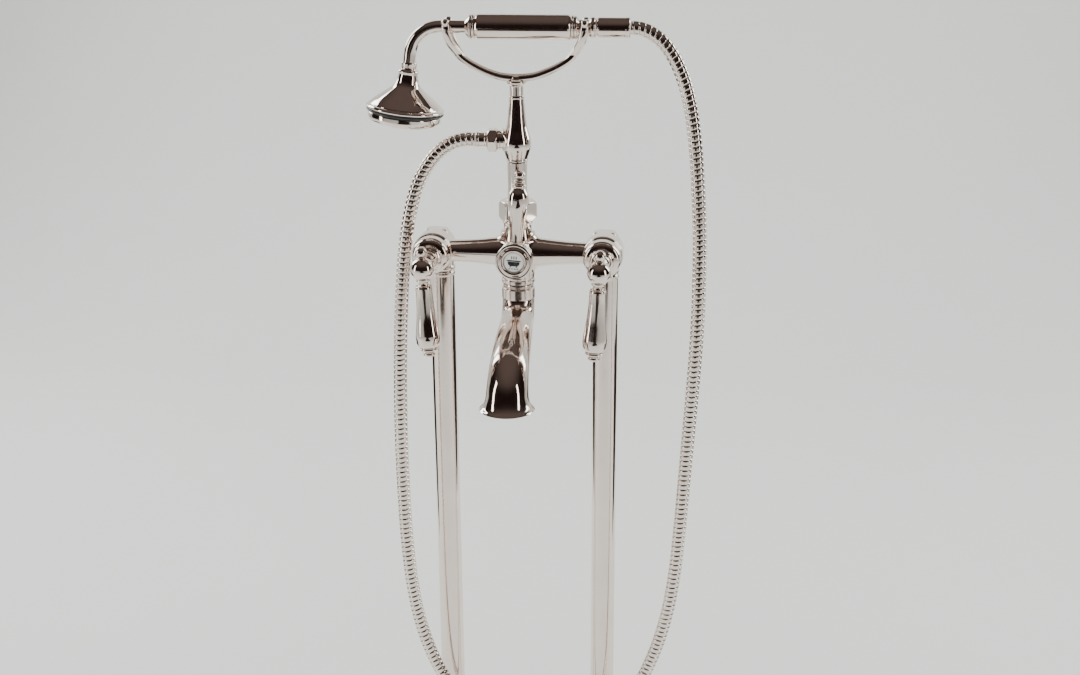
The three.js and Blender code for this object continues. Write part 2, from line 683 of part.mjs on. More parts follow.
function addRiser() {
  const washerTop = WASHER_BOTTOM + WASHER_THICKNESS;
  const washer = ring(RISER_BORE + 1, SPIGOT_RADIUS - 0.4, WASHER_BOTTOM, washerTop, SMALL);
  addPart(centre, "riser_washer", washer, rubber());
  const lipTop = RISER_FLANGE + 3 + TOUCH_GAP;
  const nutBore = rod(SPIGOT_RADIUS + SLIDE_GAP, RISER_NUT_BOTTOM - 1, lipTop);
  const nutLip = rod(RISER_RADIUS + SLIDE_GAP, lipTop - 1, RISER_NUT_TOP + 1);
  const nutBody = hexagon(RISER_NUT_FLATS, RISER_NUT_BOTTOM, RISER_NUT_TOP).rotateZ(Math.PI / 6);
  addPart(centre, "riser_nut", machined([nutBody], [nutBore, nutLip]), nickel());

  const tubeTop = TEE_BOTTOM - TOUCH_GAP;
  const tenon = RISER_RADIUS - 1.8;
  const column = turned([
    [RISER_BORE, RISER_FLANGE],
    [SPIGOT_RADIUS, RISER_FLANGE],
    [SPIGOT_RADIUS, RISER_FLANGE + 3],
    [RISER_RADIUS, RISER_FLANGE + 3],
    [RISER_RADIUS - 0.2, tubeTop - 18],
    [RISER_RADIUS + 0.4, tubeTop],
    [tenon, tubeTop],
    [tenon, tubeTop + 8],
    [RISER_BORE, tubeTop + 8],
  ]);
  addPart(centre, "riser_column", column, nickel());

  const bulb = turned([
    [0, TEE_BOTTOM],
    [RISER_RADIUS + 0.6, TEE_BOTTOM],
    [TEE_RADIUS - 1.8, TEE_BOTTOM + 9],
    [TEE_RADIUS, TEE_BOTTOM + 18],
    [TEE_RADIUS - 0.8, TEE_BOTTOM + 25],
    [RISER_RADIUS + 0.6, TEE_BOTTOM + 37],
    [TEE_TOP_RADIUS + 1, TEE_TOP - 14],
    [TEE_TOP_RADIUS, TEE_TOP],
    [CRADLE_PIN_RADIUS, TEE_TOP],
    [CRADLE_PIN_RADIUS, TEE_TOP + COLLAR_HEIGHT - 2],
    [0, TEE_TOP + COLLAR_HEIGHT - 2],
  ]);
  const boss = leftward(rod(OUTLET_BOSS_RADIUS, 0, OUTLET_BOSS_REACH, SMALL));
  boss.translate(0, 0, OUTLET_HEIGHT);
  const tenonBore = rod(tenon + SLIDE_GAP, TEE_BOTTOM - 1, TEE_BOTTOM + 9);
  const upway = rod(WATERWAY_RADIUS, TEE_BOTTOM, OUTLET_HEIGHT + 4, SMALL);
  const sideway = leftward(rod(NIPPLE_RADIUS + SLIDE_GAP, 0, OUTLET_BOSS_REACH + 1, SMALL));
  sideway.translate(0, 0, OUTLET_HEIGHT);
  addPart(centre, "riser_tee", machined([bulb, boss], [tenonBore, upway, sideway]), nickel());
}

addRiser();

// The hose union on the left of the tee, in a frame at the outlet with +Z pointing left.
const NIPPLE_END = OUTLET_BOSS_REACH + 7;
const FERRULE_START = OUTLET_BOSS_REACH + HOSE_NUT_LENGTH + TOUCH_GAP;

function addHoseOutlet() {
  const outlet = addGroup(centre, 0, 0, OUTLET_HEIGHT);
  outlet.rotation.y = -Math.PI / 2;
  const nipple = ring(NIPPLE_BORE, NIPPLE_RADIUS, 9, NIPPLE_END, SMALL);
  addPart(outlet, "outlet_nipple", nipple, brass());
  const valveRadius = NIPPLE_BORE - TOUCH_GAP;
  const valveOutline = [
    [0, 12],
    [valveRadius, 13],
    [valveRadius, NIPPLE_END - 2],
    [0, NIPPLE_END - 1],
  ];
  addPart(outlet, "check_valve", turned(valveOutline, SMALL), plastic());
  const washerStart = NIPPLE_END + TOUCH_GAP;
  const washer = ring(HOSE_WASHER_BORE, NIPPLE_RADIUS + 0.6, washerStart, washerStart + 1.4, SMALL);
  addPart(outlet, "hose_washer", washer, rubber());
  const nutStart = OUTLET_BOSS_REACH + TOUCH_GAP;
  const nutEnd = OUTLET_BOSS_REACH + HOSE_NUT_LENGTH;
  const lip = HOSE_FERRULE_RADIUS - 3;
  const nutBore = rod(NIPPLE_RADIUS + 2, nutStart - 1, nutEnd - 1, SMALL);
  const nutLip = rod(lip + SLIDE_GAP, nutEnd - 2, nutEnd + 1, SMALL);
  const nut = hexagon(HOSE_NUT_FLATS, nutStart, nutEnd);
  addPart(outlet, "hose_nut", machined([nut], [nutBore, nutLip]), nickel());
  const ferrule = turned([
    [2.6, nutEnd - 1],
    [lip, nutEnd - 1],
    [lip, FERRULE_START],
    [HOSE_FERRULE_RADIUS, FERRULE_START],
    [HOSE_FERRULE_RADIUS, FERRULE_START + HOSE_FERRULE_LENGTH - 1],
    [HOSE_FERRULE_RADIUS - 0.8, FERRULE_START + HOSE_FERRULE_LENGTH],
    [2.6, FERRULE_START + HOSE_FERRULE_LENGTH],
  ], SMALL);
  addPart(outlet, "hose_ferrule", ferrule, nickel());
}

addHoseOutlet();

// Cradle ------------------------------------------------------------------------------------

const COLLAR_BOTTOM = TEE_TOP + TOUCH_GAP;
const SADDLE_HEIGHT = COLLAR_BOTTOM + COLLAR_HEIGHT;
const HANDSET_HEIGHT = SADDLE_HEIGHT + CRADLE_RISE;
const FORK_X = CRADLE_SPAN / 2;

// One arm of the cradle from the saddle to the foot of its fork, in the frame of the cradle.
function cradleArm(direction) {
  const bow = [
    [0, 6.5],
    [16, 8],
    [30, 12.5],
    [44, 19],
    [FORK_X - 13, 27],
    [FORK_X - 4.5, 36],
    [FORK_X - 0.5, 48],
  ];
  const route = bow.map(([x, z]) => new THREE.Vector3(direction * x, 0, z));
  const section = new THREE.Shape([
    new THREE.Vector2(-BAR_THICKNESS / 2, -BAR_WIDTH / 2),
    new THREE.Vector2(BAR_THICKNESS / 2, -BAR_WIDTH / 2),
    new THREE.Vector2(BAR_THICKNESS / 2, BAR_WIDTH / 2),
    new THREE.Vector2(-BAR_THICKNESS / 2, BAR_WIDTH / 2),
  ]);
  const extrudePath = new THREE.CatmullRomCurve3(route);
  return new THREE.ExtrudeGeometry(section, { steps: 12, extrudePath, bevelEnabled: false });
}

// A U-shaped fork whose notch takes a tube of the given radius at the handset's height.
function cradleFork(direction, tubeRadius) {
  const notch = tubeRadius + SLIDE_GAP;
  const outer = notch + PRONG_THICKNESS;
  const seat = CRADLE_RISE;
  const prongTop = seat + 4;
  const outline = new THREE.Shape();
  outline.moveTo(-outer, prongTop);
  outline.absarc(0, seat, outer, Math.PI, 2 * Math.PI);
  outline.lineTo(outer, prongTop);
  outline.lineTo(notch, prongTop);
  outline.absarc(0, seat, notch, 2 * Math.PI, Math.PI, true);
  outline.lineTo(-notch, prongTop);
  const settings = { depth: BAR_THICKNESS, bevelEnabled: false, curveSegments: 8 };
  const fork = new THREE.ExtrudeGeometry(outline, settings);
  fork.translate(0, 0, -BAR_THICKNESS / 2);
  fork.rotateX(Math.PI / 2);
  fork.rotateZ(Math.PI / 2);
  fork.translate(direction * FORK_X, 0, 0);
  const balls = [-1, 1].map((way) => {
    const middle = notch + PRONG_THICKNESS / 2 + 0.6;
    return ball(PRONG_BALL_RADIUS, SMALL).translate(direction * FORK_X, way * (middle + 0.6), prongTop + 1);
  });
  return [fork, ...balls];
}

function addCradle() {
  const cradle = addGroup(centre, 0, 0, SADDLE_HEIGHT);
  const saddle = turned([
    [0, -COLLAR_HEIGHT],
    [TEE_TOP_RADIUS, -COLLAR_HEIGHT],
    [TEE_TOP_RADIUS, 0],
    [TEE_TOP_RADIUS + 3.4, 3],
    [TEE_TOP_RADIUS + 3.4, 4.5],
    [6, 9],
    [0, 9],
  ]);
  const pinBore = rod(CRADLE_PIN_RADIUS + SLIDE_GAP, -COLLAR_HEIGHT - 1, -2 + TURN_GAP, SMALL);
  const screwBore = backward(rod(SCREW_RADIUS + TOUCH_GAP, CRADLE_PIN_RADIUS, TEE_TOP_RADIUS + 2, SMALL));
  screwBore.translate(0, 0, -SCREW_DROP);
  const forks = [...cradleFork(-1, NECK_RADIUS), ...cradleFork(1, REST_RADIUS)];
  const pieces = [saddle, cradleArm(-1), cradleArm(1), ...forks];
  addPart(cradle, "cradle", machined(pieces, [pinBore, screwBore]), nickel());
  const screwTip = CRADLE_PIN_RADIUS + SLIDE_GAP + TOUCH_GAP;
  const screw = backward(rod(SCREW_RADIUS, screwTip, TEE_TOP_RADIUS - TOUCH_GAP, SMALL));
  addPart(cradle, "cradle_grub_screw", screw.translate(0, 0, -SCREW_DROP), brass());
}

addCradle();

// Handset, in a frame at the middle of the cradle on the handset's own axis -------------------

const handset = addGroup(centre, 0, 0, HANDSET_HEIGHT);
const GRIP_LEFT = GRIP_MIDDLE - GRIP_LENGTH / 2;
const GRIP_RIGHT = GRIP_LEFT + GRIP_LENGTH;
const FERRULE_LEFT = GRIP_LEFT - GRIP_FERRULE_LENGTH;
const NECK_START = FERRULE_LEFT - 26;
const END_RIGHT = GRIP_RIGHT + 25;
const END_NUT_RIGHT = END_RIGHT + END_NUT_LENGTH + TOUCH_GAP;

function addHandsetNeck() {
  const sweepAngle = 90 - HEAD_TILT;
  const bendCentre = new THREE.Vector3(NECK_START, 0, -NECK_BEND);
  const left = new THREE.Vector3(-1, 0, 0);
  const up = new THREE.Vector3(0, 0, 1);
  const bend = arc(bendCentre, left, up, NECK_BEND, 90, 90 - sweepAngle, 8);
  const tilt = radians(HEAD_TILT);
  const pour = new THREE.Vector3(-Math.sin(tilt), 0, -Math.cos(tilt));
  const end = bend[bend.length - 1].clone().addScaledVector(pour, HEAD_LEAD);
  const tail = new THREE.Vector3(GRIP_LEFT + 12, 0, 0);
  const route = [tail, new THREE.Vector3(FERRULE_LEFT, 0, 0), ...bend, end];
  addPart(handset, "handset_neck", tube(route, NECK_RADIUS, NECK_BORE, 14, SMALL), nickel());
  return end;
}

function addHandsetHead(end) {
  const head = addGroup(handset, end.x, end.y, end.z);
  head.rotation.y = Math.PI + radians(HEAD_TILT);
  const shellFront = 45;
  const neckBore = NECK_RADIUS + TOUCH_GAP;
  const shell = turned([
    [neckBore, -4],
    [7.9, -4],
    [7.9, 3.5],
    [10.3, 5],
    [10.3, 8.5],
    [8.8, 11],
    [11.6, 14],
    [14.6, 19],
    [19.5, 25],
    [27, 31],
    [35, 36.5],
    [HEAD_RADIUS - 1, 41],
    [HEAD_RADIUS, shellFront],
    [HEAD_RADIUS - 3, shellFront],
    [HEAD_RADIUS - 5, 41],
    [25, 34],
    [14, 26],
    [5, 16],
    [5, 2],
    [neckBore, 2],
  ]);
  addPart(head, "handset_head", shell, nickel());
  const sealFront = shellFront + TOUCH_GAP + 2.6;
  const seal = ring(HEAD_RADIUS - 8, HEAD_RADIUS - 0.5, shellFront + TOUCH_GAP, sealFront);
  addPart(head, "rose_seal", seal, rubber());
  const plateBack = sealFront + TOUCH_GAP;
  const rose = turned([
    [0, plateBack + 9.5],
    [HEAD_RADIUS - 12, plateBack + 9.5],
    [HEAD_RADIUS - 10.6, plateBack + 8.6],
    [HEAD_RADIUS - 6, plateBack],
    [HEAD_RADIUS - 2.4, plateBack],
    [HEAD_RADIUS - 2.8, plateBack + 2.5],
    [HEAD_RADIUS - 8.4, plateBack + 10.5],
    [HEAD_RADIUS - 11, plateBack + 12],
    [0, plateBack + 12],
  ]);
  addPart(head, "rose_plate", rose, nickel());
}

function addGrip() {
  const bore = NECK_RADIUS + TOUCH_GAP;
  const ferrule = turned([
    [bore, FERRULE_LEFT],
    [NECK_RADIUS + 1.8, FERRULE_LEFT],
    [GRIP_RADIUS - 0.6, FERRULE_LEFT + 5],
    [GRIP_RADIUS - 2.4, FERRULE_LEFT + 5.8],
    [GRIP_RADIUS - 0.4, FERRULE_LEFT + 7],
    [GRIP_RADIUS - 0.4, GRIP_LEFT - TOUCH_GAP],
    [bore, GRIP_LEFT - TOUCH_GAP],
  ]);
  addPart(handset, "handset_ferrule", rightward(ferrule), nickel());
  const grip = turned([
    [NECK_RADIUS + SLIDE_GAP, GRIP_LEFT],
    [GRIP_RADIUS - 0.8, GRIP_LEFT],
    [GRIP_RADIUS, GRIP_LEFT + 1.2],
    [GRIP_RADIUS, GRIP_RIGHT - 1.2],
    [GRIP_RADIUS - 0.8, GRIP_RIGHT],
    [NECK_RADIUS + SLIDE_GAP, GRIP_RIGHT],
    [NECK_RADIUS + SLIDE_GAP, GRIP_RIGHT - WALL],
    [GRIP_RADIUS - 2, GRIP_RIGHT - 2 * WALL],
    [GRIP_RADIUS - 2, GRIP_LEFT + 2 * WALL],
    [NECK_RADIUS + SLIDE_GAP, GRIP_LEFT + WALL],
  ]);
  addPart(handset, "handset_grip", rightward(grip), nickel());
  const start = GRIP_RIGHT + TOUCH_GAP;
  const fitting = turned([
    [NECK_BORE, GRIP_RIGHT - 10],
    [NECK_RADIUS, GRIP_RIGHT - 10],
    [NECK_RADIUS, start],
    [GRIP_RADIUS - 0.4, start],
    [GRIP_RADIUS - 0.4, start + 2],
    [GRIP_RADIUS - 1.8, start + 3.2],
    [GRIP_RADIUS - 2.2, start + 6.4],
    [REST_RADIUS, start + 7.4],
    [REST_RADIUS, END_RIGHT - 6.8],
    [END_NUT_RADIUS, END_RIGHT - 6],
    [END_NUT_RADIUS, END_RIGHT - 0.8],
    [END_NUT_RADIUS - 0.8, END_RIGHT],
    [NECK_RADIUS + 0.6, END_RIGHT],
    [NECK_RADIUS + 0.6, END_RIGHT + END_SPIGOT_LENGTH],
    [NECK_BORE, END_RIGHT + END_SPIGOT_LENGTH],
  ]);
  addPart(handset, "handset_end", rightward(fitting), nickel());
  const washerStart = END_RIGHT + END_SPIGOT_LENGTH + TOUCH_GAP;
  const washerEnd = washerStart + WASHER_THICKNESS;
  const washer = rightward(ring(NECK_BORE, NECK_RADIUS + 0.4, washerStart, washerEnd, SMALL));
  addPart(handset, "handset_washer", washer, rubber());
  const nutStart = END_RIGHT + TOUCH_GAP;
  const nut = turned([
    [NECK_RADIUS + 0.6 + SLIDE_GAP, nutStart],
    [END_NUT_RADIUS - 1, nutStart],
    [END_NUT_RADIUS - 0.4, nutStart + 2],
    [END_NUT_RADIUS, END_NUT_RIGHT - 4],
    [END_NUT_RADIUS - 0.8, END_NUT_RIGHT - 1],
    [END_NUT_RADIUS - 1.8, END_NUT_RIGHT],
    [NECK_BORE, END_NUT_RIGHT],
    [NECK_BORE, washerEnd + TOUCH_GAP],
    [NECK_RADIUS + 0.6 + SLIDE_GAP, washerEnd + TOUCH_GAP],
  ]);
  addPart(handset, "handset_hose_nut", rightward(nut), nickel());
}

addHandsetHead(addHandsetNeck());
addGrip();

// Hose --------------------------------------------------------------------------------------

// Chosen routes in the plane of the riser, as [x, height above the valve axis].
const HOSE_RISER_ROUTE = [
  [-43.1, 119.4], [-54, 119.4], [-69, 115], [-84, 104], [-97, 87], [-107, 66], [-114, 42],
  [-119, 16], [-123, -14], [-127, -60], [-130, -110], [-132, -165], [-133, -225], [-132.5, -290],
  [-130.5, -350], [-126, -405], [-117, -455], [-102, -501], [-82, -537], [-57, -563.5], [-28, -580],
  [-4, -584], [6, -584],
];
const HOSE_HANDSET_ROUTE = [
  [115.8, 234.5], [124, 234], [134, 230.5], [147, 221.5], [159, 206], [168.5, 186], [175.5, 163],
  [180.5, 137], [184.5, 105], [187.5, 68], [190, 25], [191, -25], [190.5, -80], [188, -140],
  [184.5, -200], [181, -260], [177.5, -320], [173, -375], [165, -428], [152, -477], [134, -520],
  [110, -551], [80, -572], [46, -582], [18, -584], [6.6, -584],
];

function addHose(name, route) {
  const points = route.map(([x, z]) => new THREE.Vector3(x, 0, z));
  const turn = Math.PI / HOSE_SIDES;
  const hose = tube(points, HOSE_RADIUS, HOSE_BORE, HOSE_STEPS, HOSE_SIDES, turn);
  addPart(centre, name, hose, nickel());
}

addHose("hose_riser_run", HOSE_RISER_ROUTE);
addHose("hose_handset_run", HOSE_HANDSET_ROUTE);

export default mixer;
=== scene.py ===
"""The finished look of a floor-standing bath and shower mixer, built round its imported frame.

Two standpipes carry a mixer body with two quarter-turn levers, a diverter and a swept spout. A
riser above it holds a cradle, the cradle holds a handset, and a metal hose joins riser and handset.

Shapes are given in millimetres in the frame's own axes: +X to the user's right, +Y towards the
wall, +Z up from the floor. They become metres where a mesh is made. Round work is an outline of
(radius, height, fillet) corners spun round an axis, and bent work is a section carried along a path.
"""

from __future__ import annotations

import logging
import math
from dataclasses import dataclass, field
from enum import Enum
from typing import Iterable, Sequence

import bpy
import numpy as np
from mathutils import Matrix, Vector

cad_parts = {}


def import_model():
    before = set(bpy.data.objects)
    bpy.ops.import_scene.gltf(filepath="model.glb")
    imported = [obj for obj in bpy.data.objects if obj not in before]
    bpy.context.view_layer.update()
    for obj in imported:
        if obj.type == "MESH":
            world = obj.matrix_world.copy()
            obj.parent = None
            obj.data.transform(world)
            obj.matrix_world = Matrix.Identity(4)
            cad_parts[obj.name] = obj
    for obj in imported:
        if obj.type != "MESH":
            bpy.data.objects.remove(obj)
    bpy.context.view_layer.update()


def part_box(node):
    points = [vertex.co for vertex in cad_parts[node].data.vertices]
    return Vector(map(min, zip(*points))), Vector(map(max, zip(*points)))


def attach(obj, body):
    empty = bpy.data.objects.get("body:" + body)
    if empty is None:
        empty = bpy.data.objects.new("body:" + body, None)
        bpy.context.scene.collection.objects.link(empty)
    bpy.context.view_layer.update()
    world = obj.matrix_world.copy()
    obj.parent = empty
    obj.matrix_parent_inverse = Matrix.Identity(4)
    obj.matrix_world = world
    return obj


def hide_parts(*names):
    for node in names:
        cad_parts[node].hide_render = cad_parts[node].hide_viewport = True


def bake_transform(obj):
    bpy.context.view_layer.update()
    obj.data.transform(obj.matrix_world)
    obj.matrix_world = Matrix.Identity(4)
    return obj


LOG = logging.getLogger("bath_mixer")
MM = 0.001

Pair = tuple[float, float]
Corner = tuple[float, float, float]
Colour = tuple[float, float, float]
Triple = tuple[float, float, float]
Angles = np.ndarray | float
Socket = bpy.types.NodeSocket
Node = bpy.types.Node


class Way(Enum):
    """The directions that a turned piece can point in."""

    UP = (0.0, 0.0, 1.0)
    DOWN = (0.0, 0.0, -1.0)
    FORWARD = (0.0, -1.0, 0.0)
    LEFT = (-1.0, 0.0, 0.0)
    RIGHT = (1.0, 0.0, 0.0)


class Slot(Enum):
    """The material slots."""

    NICKEL = "polished_nickel"
    HOSE = "hose_metal"
    BRASS = "plain_brass"
    COPPER = "copper"
    RUBBER = "black_rubber"
    PLASTIC = "white_plastic"
    PORCELAIN = "white_porcelain"
    CERAMIC = "valve_ceramic"


# Where things are ---------------------------------------------------------------------------


@dataclass(frozen=True)
class Place:
    """The box that a frame node fills at rest, in millimetres."""

    low: np.ndarray
    high: np.ndarray

    @classmethod
    def of(cls, node: str) -> "Place":
        """Reads a node's box.

        Args:
            node: the node's name.

        Returns:
            Its place.
        """
        low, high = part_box(node)
        return cls(np.array(low) / MM, np.array(high) / MM)

    @property
    def middle(self) -> np.ndarray:
        """The centre of the box."""
        return (self.low + self.high) / 2


@dataclass(frozen=True)
class Axis:
    """A line that a piece is turned round: where it starts and which way it points."""

    start: np.ndarray
    along: np.ndarray

    @classmethod
    def at(cls, start: Iterable[float], way: Way | Iterable[float]) -> "Axis":
        """Makes an axis from a point and a direction.

        Args:
            start: the point at height zero.
            way: a named direction, or a vector.

        Returns:
            The axis, with a direction of length one.
        """
        direction = np.array(way.value if isinstance(way, Way) else list(way), float)
        return cls(np.array(list(start), float), direction / np.linalg.norm(direction))

    def across(self) -> tuple[np.ndarray, np.ndarray]:
        """Two directions square to the axis and to each other.

        Returns:
            The pair, which with the axis makes a right-handed set.
        """
        spare = np.array([1.0, 0, 0]) if abs(self.along[0]) < 0.8 else np.array([0, 0, 1.0])
        first = np.cross(spare, self.along)
        first /= np.linalg.norm(first)
        return first, np.cross(self.along, first)


# Surfaces -----------------------------------------------------------------------------------


@dataclass
class Skin:
    """A closed surface on a grid whose columns run round it and join up.

    Attributes:
        points: rows by columns by three, in millimetres.
        ring: whether the last row joins the first; otherwise each end closes on a middle point.
        recess: how deep each row lies in a groove, from 0 to 1.
    """

    points: np.ndarray
    ring: bool = False
    recess: np.ndarray | None = None


def rounded(corners: Sequence[Corner], closed: bool = False, steps: int = 6) -> np.ndarray:
    """Rounds the corners of an outline.

    Each corner P with fillet f becomes the parabola (1-t)^2 A + 2t(1-t) P + t^2 B, where A and B
    lie f before and after P on the sides that meet there, or nearly half a side away if that is
    shorter. A point just beyond A and B keeps the straight sides straight when they are shaded.

    Args:
        corners: the outline as (radius, height, fillet).
        closed: whether the last corner joins the first.
        steps: how many pieces each parabola has.

    Returns:
        The points as (radius, height) rows.
    """
    data = np.array(corners, float)
    points, fillet = data[:, :2], data[:, 2]
    towards_next = np.roll(points, -1, 0) - points
    towards_last = np.roll(points, 1, 0) - points
    next_length = np.linalg.norm(towards_next, axis=1) + 1e-9
    last_length = np.linalg.norm(towards_last, axis=1) + 1e-9
    reach = np.minimum(fillet, 0.48 * np.minimum(next_length, last_length))
    if not closed:
        reach[[0, -1]] = 0
    next_way = towards_next / next_length[:, None]
    last_way = towards_last / last_length[:, None]
    first = points + last_way * reach[:, None]
    last = points + next_way * reach[:, None]
    t = np.linspace(0, 1, steps + 1)[None, :, None]
    curve = (1 - t) ** 2 * first[:, None] + 2 * t * (1 - t) * points[:, None] + t**2 * last[:, None]
    guard = np.minimum(0.3, 0.1 * np.minimum(next_length, last_length))[:, None]
    lead = (first + last_way * guard)[:, None]
    trail = (last + next_way * guard)[:, None]
    runs = np.concatenate([lead, curve, trail], axis=1)
    if not closed:
        runs = np.concatenate([points[:1], runs[1:-1].reshape(-1, 2), points[-1:]])
    flat = runs.reshape(-1, 2)
    keep = np.ones(len(flat), bool)
    keep[1:] = np.linalg.norm(np.diff(flat, axis=0), axis=1) > 1e-4
    return flat[keep]


def travelled(points: np.ndarray) -> np.ndarray:
    """The distance from the first point of a line to each of its points."""
    return np.concatenate([[0], np.cumsum(np.linalg.norm(np.diff(points, axis=0), axis=1))])


def groove_depth(outline: np.ndarray, window: float = 3.5, full: float = 1.6) -> np.ndarray:
    """How deep each point of an outline lies between higher ground on both sides.

    The highest radius within the window before the point and the highest after it are found, and
    the lower of the two, less the point's own radius, is the depth.

    Args:
        outline: (radius, height) rows.
        window: how far to look each way, in millimetres.
        full: the depth that counts as 1.

    Returns:
        Values from 0 to 1.
    """
    travel = travelled(outline)
    gap = travel[None, :] - travel[:, None]
    radius = outline[:, 0]
    before = np.where((gap <= 0) & (gap >= -window), radius[None, :], -1e9).max(1)
    after = np.where((gap >= 0) & (gap <= window), radius[None, :], -1e9).max(1)
    return np.clip((np.minimum(before, after) - radius) / full, 0, 1)


def spun(outline: np.ndarray, axis: Axis, ring: bool = False, columns: int = 96) -> Skin:
    """Spins an outline round an axis.

    Point (radius, height) at angle a goes to start + height*along + radius*(cos a*u + sin a*v).

    Args:
        outline: (radius, height) rows.
        axis: the axis to spin round.
        ring: whether the outline closes on itself.
        columns: how many steps make a full turn.

    Returns:
        The skin.
    """
    u, v = axis.across()
    turn = np.linspace(0, 2 * np.pi, columns, endpoint=False)
    spoke = np.cos(turn)[:, None] * u + np.sin(turn)[:, None] * v
    height = outline[:, 1][:, None, None] * axis.along
    points = axis.start + height + outline[:, 0][:, None, None] * spoke[None]
    return Skin(points, ring, groove_depth(outline))


def turned(corners: Sequence[Corner], axis: Axis, ring: bool = False, columns: int = 96) -> Skin:
    """Spins a rounded outline of (radius, height, fillet) corners round an axis."""
    return spun(rounded(corners, closed=ring), axis, ring, columns)


def nut(flats: float, rows: Sequence[Pair], axis: Axis, twist: float = 0.0) -> Skin:
    """A hexagonal nut with chamfered ends.

    The hexagon's radius at angle a is the high-power norm of its three flat directions, which
    rounds the corners a little: (sum |cos(a - k*60)|^p)^(-1/p) times half the flats. Each row is
    the soft lower of that and the row's own limit, so a cone cuts the arcs of a chamfer.

    Args:
        flats: the size across the flats.
        rows: (limit radius, height) pairs round the section, which closes on itself.
        axis: the nut's axis.
        twist: the angle from the axis's first cross direction to a flat, in degrees.

    Returns:
        The skin.
    """
    columns, corner_power, cut_power = 240, 60.0, 90.0
    u, v = axis.across()
    turn = np.linspace(0, 2 * np.pi, columns, endpoint=False)
    lean = turn[:, None] - np.radians(twist + 60.0 * np.arange(3))
    hexagon = flats / 2 * (np.abs(np.cos(lean)) ** corner_power).sum(1) ** (-1 / corner_power)
    limit = np.array([row[0] for row in rows])[:, None]
    radius = (hexagon[None] ** -cut_power + limit**-cut_power) ** (-1 / cut_power)
    spoke = np.cos(turn)[:, None] * u + np.sin(turn)[:, None] * v
    height = np.array([row[1] for row in rows])[:, None, None] * axis.along
    return Skin(axis.start + height + radius[:, :, None] * spoke[None], ring=True)


def nut_rows(flats: float, bore: float, length: float, chamfer: float) -> list[Pair]:
    """The section of a nut: bore, end face, chamfer, side, and the same again at the other end.

    Args:
        flats: the size across the flats.
        bore: the bore's radius.
        length: its length, from height zero.
        chamfer: how far the chamfer cuts into the corners along the axis.

    Returns:
        (limit radius, height) pairs.
    """
    face = flats / 2 - 0.3
    corner = flats / math.sqrt(3) + 0.4
    slope = (corner - face) / chamfer
    cut = [(face + slope * d, d) for d in np.linspace(0.0, chamfer, 14)]
    near = [(bore, 0.4), (bore + 0.4, 0.0), *cut]
    return near + [(radius, length - height) for radius, height in near[::-1]]


def through(points: Sequence[Sequence[float]], steps: int = 24) -> np.ndarray:
    """A smooth curve through points, by the uniform Catmull-Rom formula.

    Between P1 and P2 the point is half of 2*P1 + (P2-P0)t + (2P0-5P1+4P2-P3)t^2 +
    (3P1-P0-3P2+P3)t^3, and the line goes straight on past each end.

    Args:
        points: the points to pass through.
        steps: how many pieces lie between two points.

    Returns:
        The curve's points.
    """
    given = np.array(points, float)
    run = np.vstack([2 * given[0] - given[1], given, 2 * given[-1] - given[-2]])
    p0, p1, p2, p3 = (run[i : len(run) - 3 + i, None] for i in range(4))
    t = np.linspace(0, 1, steps, endpoint=False)[None, :, None]
    curve = 2 * p1 + (p2 - p0) * t + (2 * p0 - 5 * p1 + 4 * p2 - p3) * t**2
    curve = (curve + (3 * p1 - p0 - 3 * p2 + p3) * t**3) / 2
    return np.vstack([curve.reshape(-1, given.shape[1]), given[-1]])


def evenly(points: np.ndarray, count: int) -> np.ndarray:
    """The same curve with a given number of points at even distances."""
    travel = travelled(points)
    wanted = np.linspace(0, travel[-1], count)
    return np.stack([np.interp(wanted, travel, points[:, i]) for i in range(points.shape[1])], 1)


def length_of(points: np.ndarray) -> float:
    """The length of a line of points."""
    return float(np.linalg.norm(np.diff(points, axis=0), axis=1).sum())


def oval(wide: float, deep: float, power: float = 2.0, count: int = 32) -> np.ndarray:
    """A section |x/wide|^n + |y/deep|^n = 1, which is an ellipse at n = 2 and squarer above it."""
    turn = np.linspace(0, 2 * np.pi, count, endpoint=False)
    circle = np.stack([np.cos(turn), np.sin(turn)], 1)
    return np.array([wide, deep]) * np.sign(circle) * np.abs(circle) ** (2.0 / power)


def carried(path: np.ndarray, section: np.ndarray, side: Triple, scale: Angles = 1.0) -> Skin:
    """Carries a section along a path.

    At each point the tangent T is the central difference, N is the side direction less its part
    along T, and B is T x N. Section point (a, b) goes to path + scale*(a*N + b*B).

    Args:
        path: the path's points.
        section: (a, b) rows round the section, the same at every step, or rows for each step.
        side: the direction that the section's first number points in.
        scale: one factor for each step, or one for all.

    Returns:
        The skin, closed at both ends.
    """
    tangent = np.gradient(path, axis=0)
    tangent /= np.linalg.norm(tangent, axis=1)[:, None]
    normal = np.array(side, float) - (tangent @ np.array(side, float))[:, None] * tangent
    normal /= np.linalg.norm(normal, axis=1)[:, None]
    cross = np.cross(tangent, normal)
    factor = np.broadcast_to(np.asarray(scale, float), len(path))[:, None, None]
    shape = np.broadcast_to(section, (len(path), *section.shape[-2:]))
    spread = shape[:, :, :1] * normal[:, None] + shape[:, :, 1:] * cross[:, None]
    return Skin(path[:, None] + factor * spread)


